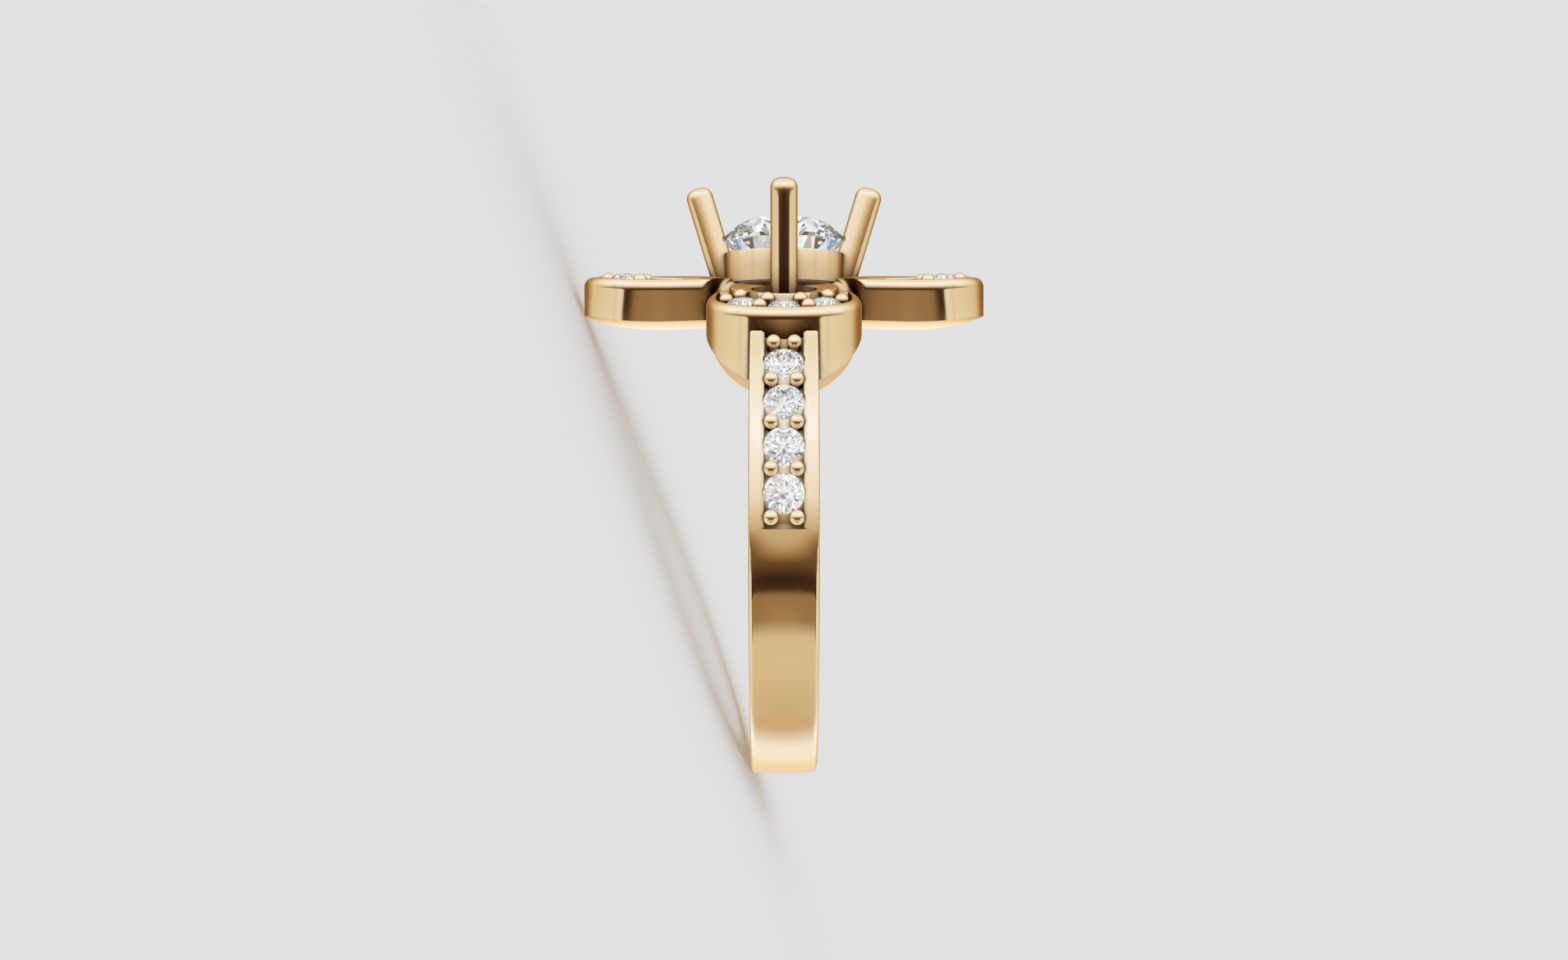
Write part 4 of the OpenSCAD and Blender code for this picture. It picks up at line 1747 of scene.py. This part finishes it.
@dataclass(frozen=True)
class Studio:
    """The soft room round the ring, its pale table and the camera.

    The room's light is given as it looks in the polished gold, by its height above the
    finger's level: at the front, where a dark screen stands, at the sides and at the back.

    Attributes:
        stand: Where the ring lies.
        gold: Light that the gold reflects, which the looks are divided by.
        backdrop: Grey of the room behind the ring.
        plain: Light on the table.
        brightest: Light of the brightest place in the room.
        middle_edge: Degrees from the front between which the middle's look ends.
        screen_edge: Degrees from the front between which the screen ends.
        flare: Degrees by which the screen is wider further up.
        flare_from: Heights, as shares, between which it widens.
        back_edge: Degrees from the front between which the back's look begins.
        seam_in: Degrees between which a fine dark line beside the screen begins.
        seam_out: Degrees between which it ends.
        seam_dark: How dark it is.
        sparkle_scale: Fineness of the light that the stones show.
        sparkle_light: Strength of that light.
        camera_place: The camera's place in the frame, in millimetres.
        lens: Its focal length in millimetres.
        sensor: Its sensor's width in millimetres.
        clip: Nearest and furthest distance that it sees, in metres.
        table_half: Half of the table top's width, in metres.
        table_steps: Faces along its edge.
        front: Looks at the middle of the front.
        screen: Looks beside the middle, on the screen.
        sides: Looks at the sides.
        back: Looks at the back.
        sparkle: Lights that the stones show, by their share of the room.
    """

    stand: Stand
    gold: Colour = (0.83, 0.58, 0.34)
    backdrop: Colour = (0.76, 0.76, 0.76)
    plain: Colour = (0.95, 0.95, 0.95)
    brightest: float = 3.6
    middle_edge: Span = (3.0, 15.0)
    screen_edge: Span = (47.0, 50.0)
    flare: float = 45.0
    flare_from: Span = (0.39, 0.49)
    back_edge: Span = (112.0, 145.0)
    seam_in: Span = (58.0, 61.0)
    seam_out: Span = (63.0, 67.0)
    seam_dark: float = 0.1
    sparkle_scale: float = 5.5
    sparkle_light: float = 1.22
    camera_place: Point = (0.459, -93.07, 5.536)
    lens: float = 50.0
    sensor: float = 36.0
    clip: Span = (0.005, 50.0)
    table_half: float = 6.0
    table_steps: int = 8
    front: Looks = (
        (-90, Tone.GOLD),
        (-66, Tone.STRAW),
        (-50, Tone.STRAW),
        (-42, Tone.TAN),
        (-30, Tone.AMBER),
        (-27.5, Tone.UMBER),
        (-22, Tone.NIGHT),
        (-14, Tone.BROWN),
        (-7, Tone.TAN),
        (0, Tone.GOLD),
        (13, Tone.CREAM),
        (45, Tone.WHITE),
        (90, Tone.CREAM),
    )
    screen: Looks = (
        (-90, Tone.GOLD),
        (-66, Tone.STRAW),
        (-50, Tone.STRAW),
        (-42, Tone.AMBER),
        (-30, Tone.AMBER),
        (-28.5, Tone.UMBER),
        (-22, Tone.UMBER),
        (-14, Tone.BROWN),
        (-7, Tone.TAN),
        (0, Tone.GOLD),
        (13, Tone.CREAM),
        (45, Tone.WHITE),
        (90, Tone.CREAM),
    )
    sides: Looks = (
        (-90, Tone.GOLD),
        (-60, Tone.SAND),
        (-28, Tone.BISCUIT),
        (6, Tone.STRAW),
        (20, Tone.BISCUIT),
        (45, Tone.IVORY),
        (90, Tone.CREAM),
    )
    back: Looks = (
        (-90, Tone.GOLD),
        (-76, Tone.GOLD),
        (-60, Tone.WHITE),
        (-45, Tone.LAMP),
        (-28, Tone.LAMP),
        (-14, Tone.BISCUIT),
        (-4, Tone.TAN),
        (6, Tone.AMBER),
        (18, Tone.HONEY),
        (32, Tone.SAND),
        (60, Tone.IVORY),
        (90, Tone.CREAM),
    )
    sparkle: tuple[tuple[float, Colour], ...] = (
        (0.0, (0.1, 0.1, 0.105)),
        (0.12, (0.2, 0.2, 0.205)),
        (0.24, (0.4, 0.4, 0.41)),
        (0.44, (0.58, 0.58, 0.58)),
        (0.66, (0.72, 0.72, 0.72)),
        (0.82, (1.0, 1.0, 1.0)),
        (0.88, (1.0, 1.0, 1.0)),
        (0.9, (0.55, 0.66, 1.0)),
        (0.93, (1.0, 1.0, 1.0)),
        (0.96, (0.95, 0.72, 0.5)),
    )

    def stops(self, looks: Looks) -> list[tuple[float, Colour]]:
        """Gives ramp stops of the light behind some looks, as shares of the brightest light.

        Args:
            looks: Heights in degrees and the gold's tone there.

        Returns:
            Places from 0 to 1 and colours.
        """
        made = []
        for height, tone in looks:
            light = tuple(linear(c) / g / self.brightest for c, g in zip(tone.value, self.gold))
            made.append(((height + 90) / 180, light))
        return made

    def mirrored(self, graph: Graph, way: bpy.types.NodeSocket) -> bpy.types.NodeSocket:
        """Makes the light that the gold mirrors.

        Args:
            graph: The room's nodes.
            way: The direction that a ray goes.

        Returns:
            The light's colour.
        """
        up = graph.dot(way, self.stand.up)
        right = graph.dot(way, self.stand.along)
        ahead = graph.dot(way, Vector((0.0, -1.0, 0.0)))
        height = graph.math("ARCSINE", up) * (1 / math.pi) + 0.5
        turn = graph.math("ABSOLUTE", graph.math("ARCTAN2", right, ahead)) * (180 / math.pi)
        front, screen, sides, back = (
            graph.ramp(height, self.stops(looks))
            for looks in (self.front, self.screen, self.sides, self.back)
        )
        looks = graph.blend(graph.ease(turn, *self.middle_edge), front, screen)
        flare = graph.ease(height, *self.flare_from) * self.flare
        looks = graph.blend(graph.ease(turn - flare, *self.screen_edge), looks, sides)
        looks = graph.blend(graph.ease(turn, *self.back_edge), looks, back)
        seam = graph.ease(turn, *self.seam_in) * (1 - graph.ease(turn, *self.seam_out))
        return graph.blend(seam * self.seam_dark, looks, (0.0, 0.0, 0.0, 1.0))

    def sparkled(self, graph: Graph, way: bpy.types.NodeSocket) -> bpy.types.NodeSocket:
        """Makes the patches of light and dark that the stones show.

        Args:
            graph: The room's nodes.
            way: The direction that a ray goes.

        Returns:
            The light's colour.
        """
        cells = graph.node(
            "ShaderNodeTexVoronoi",
            {"voronoi_dimensions": "3D"},
            {"Vector": way, "Scale": self.sparkle_scale},
        ).outputs["Color"]
        return graph.ramp(graph.value("ShaderNodeSeparateColor", {}, {"Color": cells}), self.sparkle)

    def build_room(self) -> None:
        """Makes the room's light: one for the gold, one for the stones, one for the table."""
        world = bpy.data.worlds.new("soft_room")
        bpy.context.scene.world = world
        world.use_nodes = True
        graph = Graph(world.node_tree)
        way = graph.node("ShaderNodeTexCoord").outputs["Generated"]
        gloss, through, plain, seen = (
            graph.shader("ShaderNodeBackground", {"Color": colour, "Strength": strength})
            for colour, strength in (
                (self.mirrored(graph, way), self.brightest),
                (self.sparkled(graph, way), self.sparkle_light),
                ((*self.plain, 1.0), 1.0),
                ((*self.backdrop, 1.0), 1.0),
            )
        )
        kind = graph.node("ShaderNodeLightPath").outputs
        mixed = graph.choose(kind["Is Glossy Ray"], plain, gloss)
        mixed = graph.choose(kind["Is Transmission Ray"], mixed, through)
        mixed = graph.choose(kind["Is Camera Ray"], mixed, seen)
        graph.node("ShaderNodeOutputWorld", {}, {"Surface": mixed})

    def build_table(self) -> None:
        """Makes the table top that the ring lies on.

        The metal and the stones don't show it, and it doesn't darken the gold's creases with painted
        shade.
        """
        steps = self.table_steps
        line = [mix(-self.table_half, self.table_half, k / steps) for k in range(steps + 1)]
        shape = Shape()
        shape.add_grid([[(x, y, 0.0) for x in line] for y in line], False, False)
        table = shape.mesh_object("table_top")
        table.data.materials.append(PaleTable().material())
        table.visible_glossy = False
        table.visible_transmission = False
        table.visible_shadow = False
        log.info("table_top: %d faces", len(table.data.polygons))

    def build_camera(self) -> None:
        """Makes the camera, level with the ring and turned so that the ring stands upright."""
        data = bpy.data.cameras.new("camera")
        data.lens = self.lens
        data.sensor_width = self.sensor
        data.clip_start, data.clip_end = self.clip
        camera = bpy.data.objects.new("camera", data)
        bpy.context.scene.collection.objects.link(camera)
        ahead = Vector((0.0, -1.0, 0.0))
        turned = Matrix((self.stand.along, self.stand.up, ahead)).transposed().to_4x4()
        camera.matrix_world = Matrix.Translation(Vector(self.camera_place) * MILLIMETRE) @ turned
        bpy.context.scene.camera = camera
        log.info("camera: %.0f mm lens", self.lens)

    def build(self) -> None:
        """Makes the camera, the room and the table, and sets how far light is followed."""
        self.build_camera()
        self.build_room()
        self.build_table()
        bpy.context.scene.view_settings.view_transform = "Standard"
        bpy.context.scene.view_settings.look = "None"
        paths = bpy.context.scene.cycles
        paths.max_bounces = 20
        paths.transmission_bounces = 20
        paths.glossy_bounces = 8


def main() -> None:
    """Builds the studio and the ring's pieces in order."""
    logging.basicConfig(level=logging.INFO, format="%(name)s: %(message)s")
    stand = Stand()
    Studio(stand).build()
    bench = Bench(stand)
    Shank().build(bench)
    for side in (Side.RIGHT, Side.LEFT):
        SidePetal(side, SIDE_OUTLINE, SIDE_EYE).build(bench)
    for side in (Side.FRONT, Side.BACK):
        FrontPetal(side, FRONT_OUTLINE, FRONT_EYE).build(bench)
    Crown().build(bench)
    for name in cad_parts:
        if name != MOUNT:
            bench.finish_stone(name)


if __name__ == "__main__":
    main()
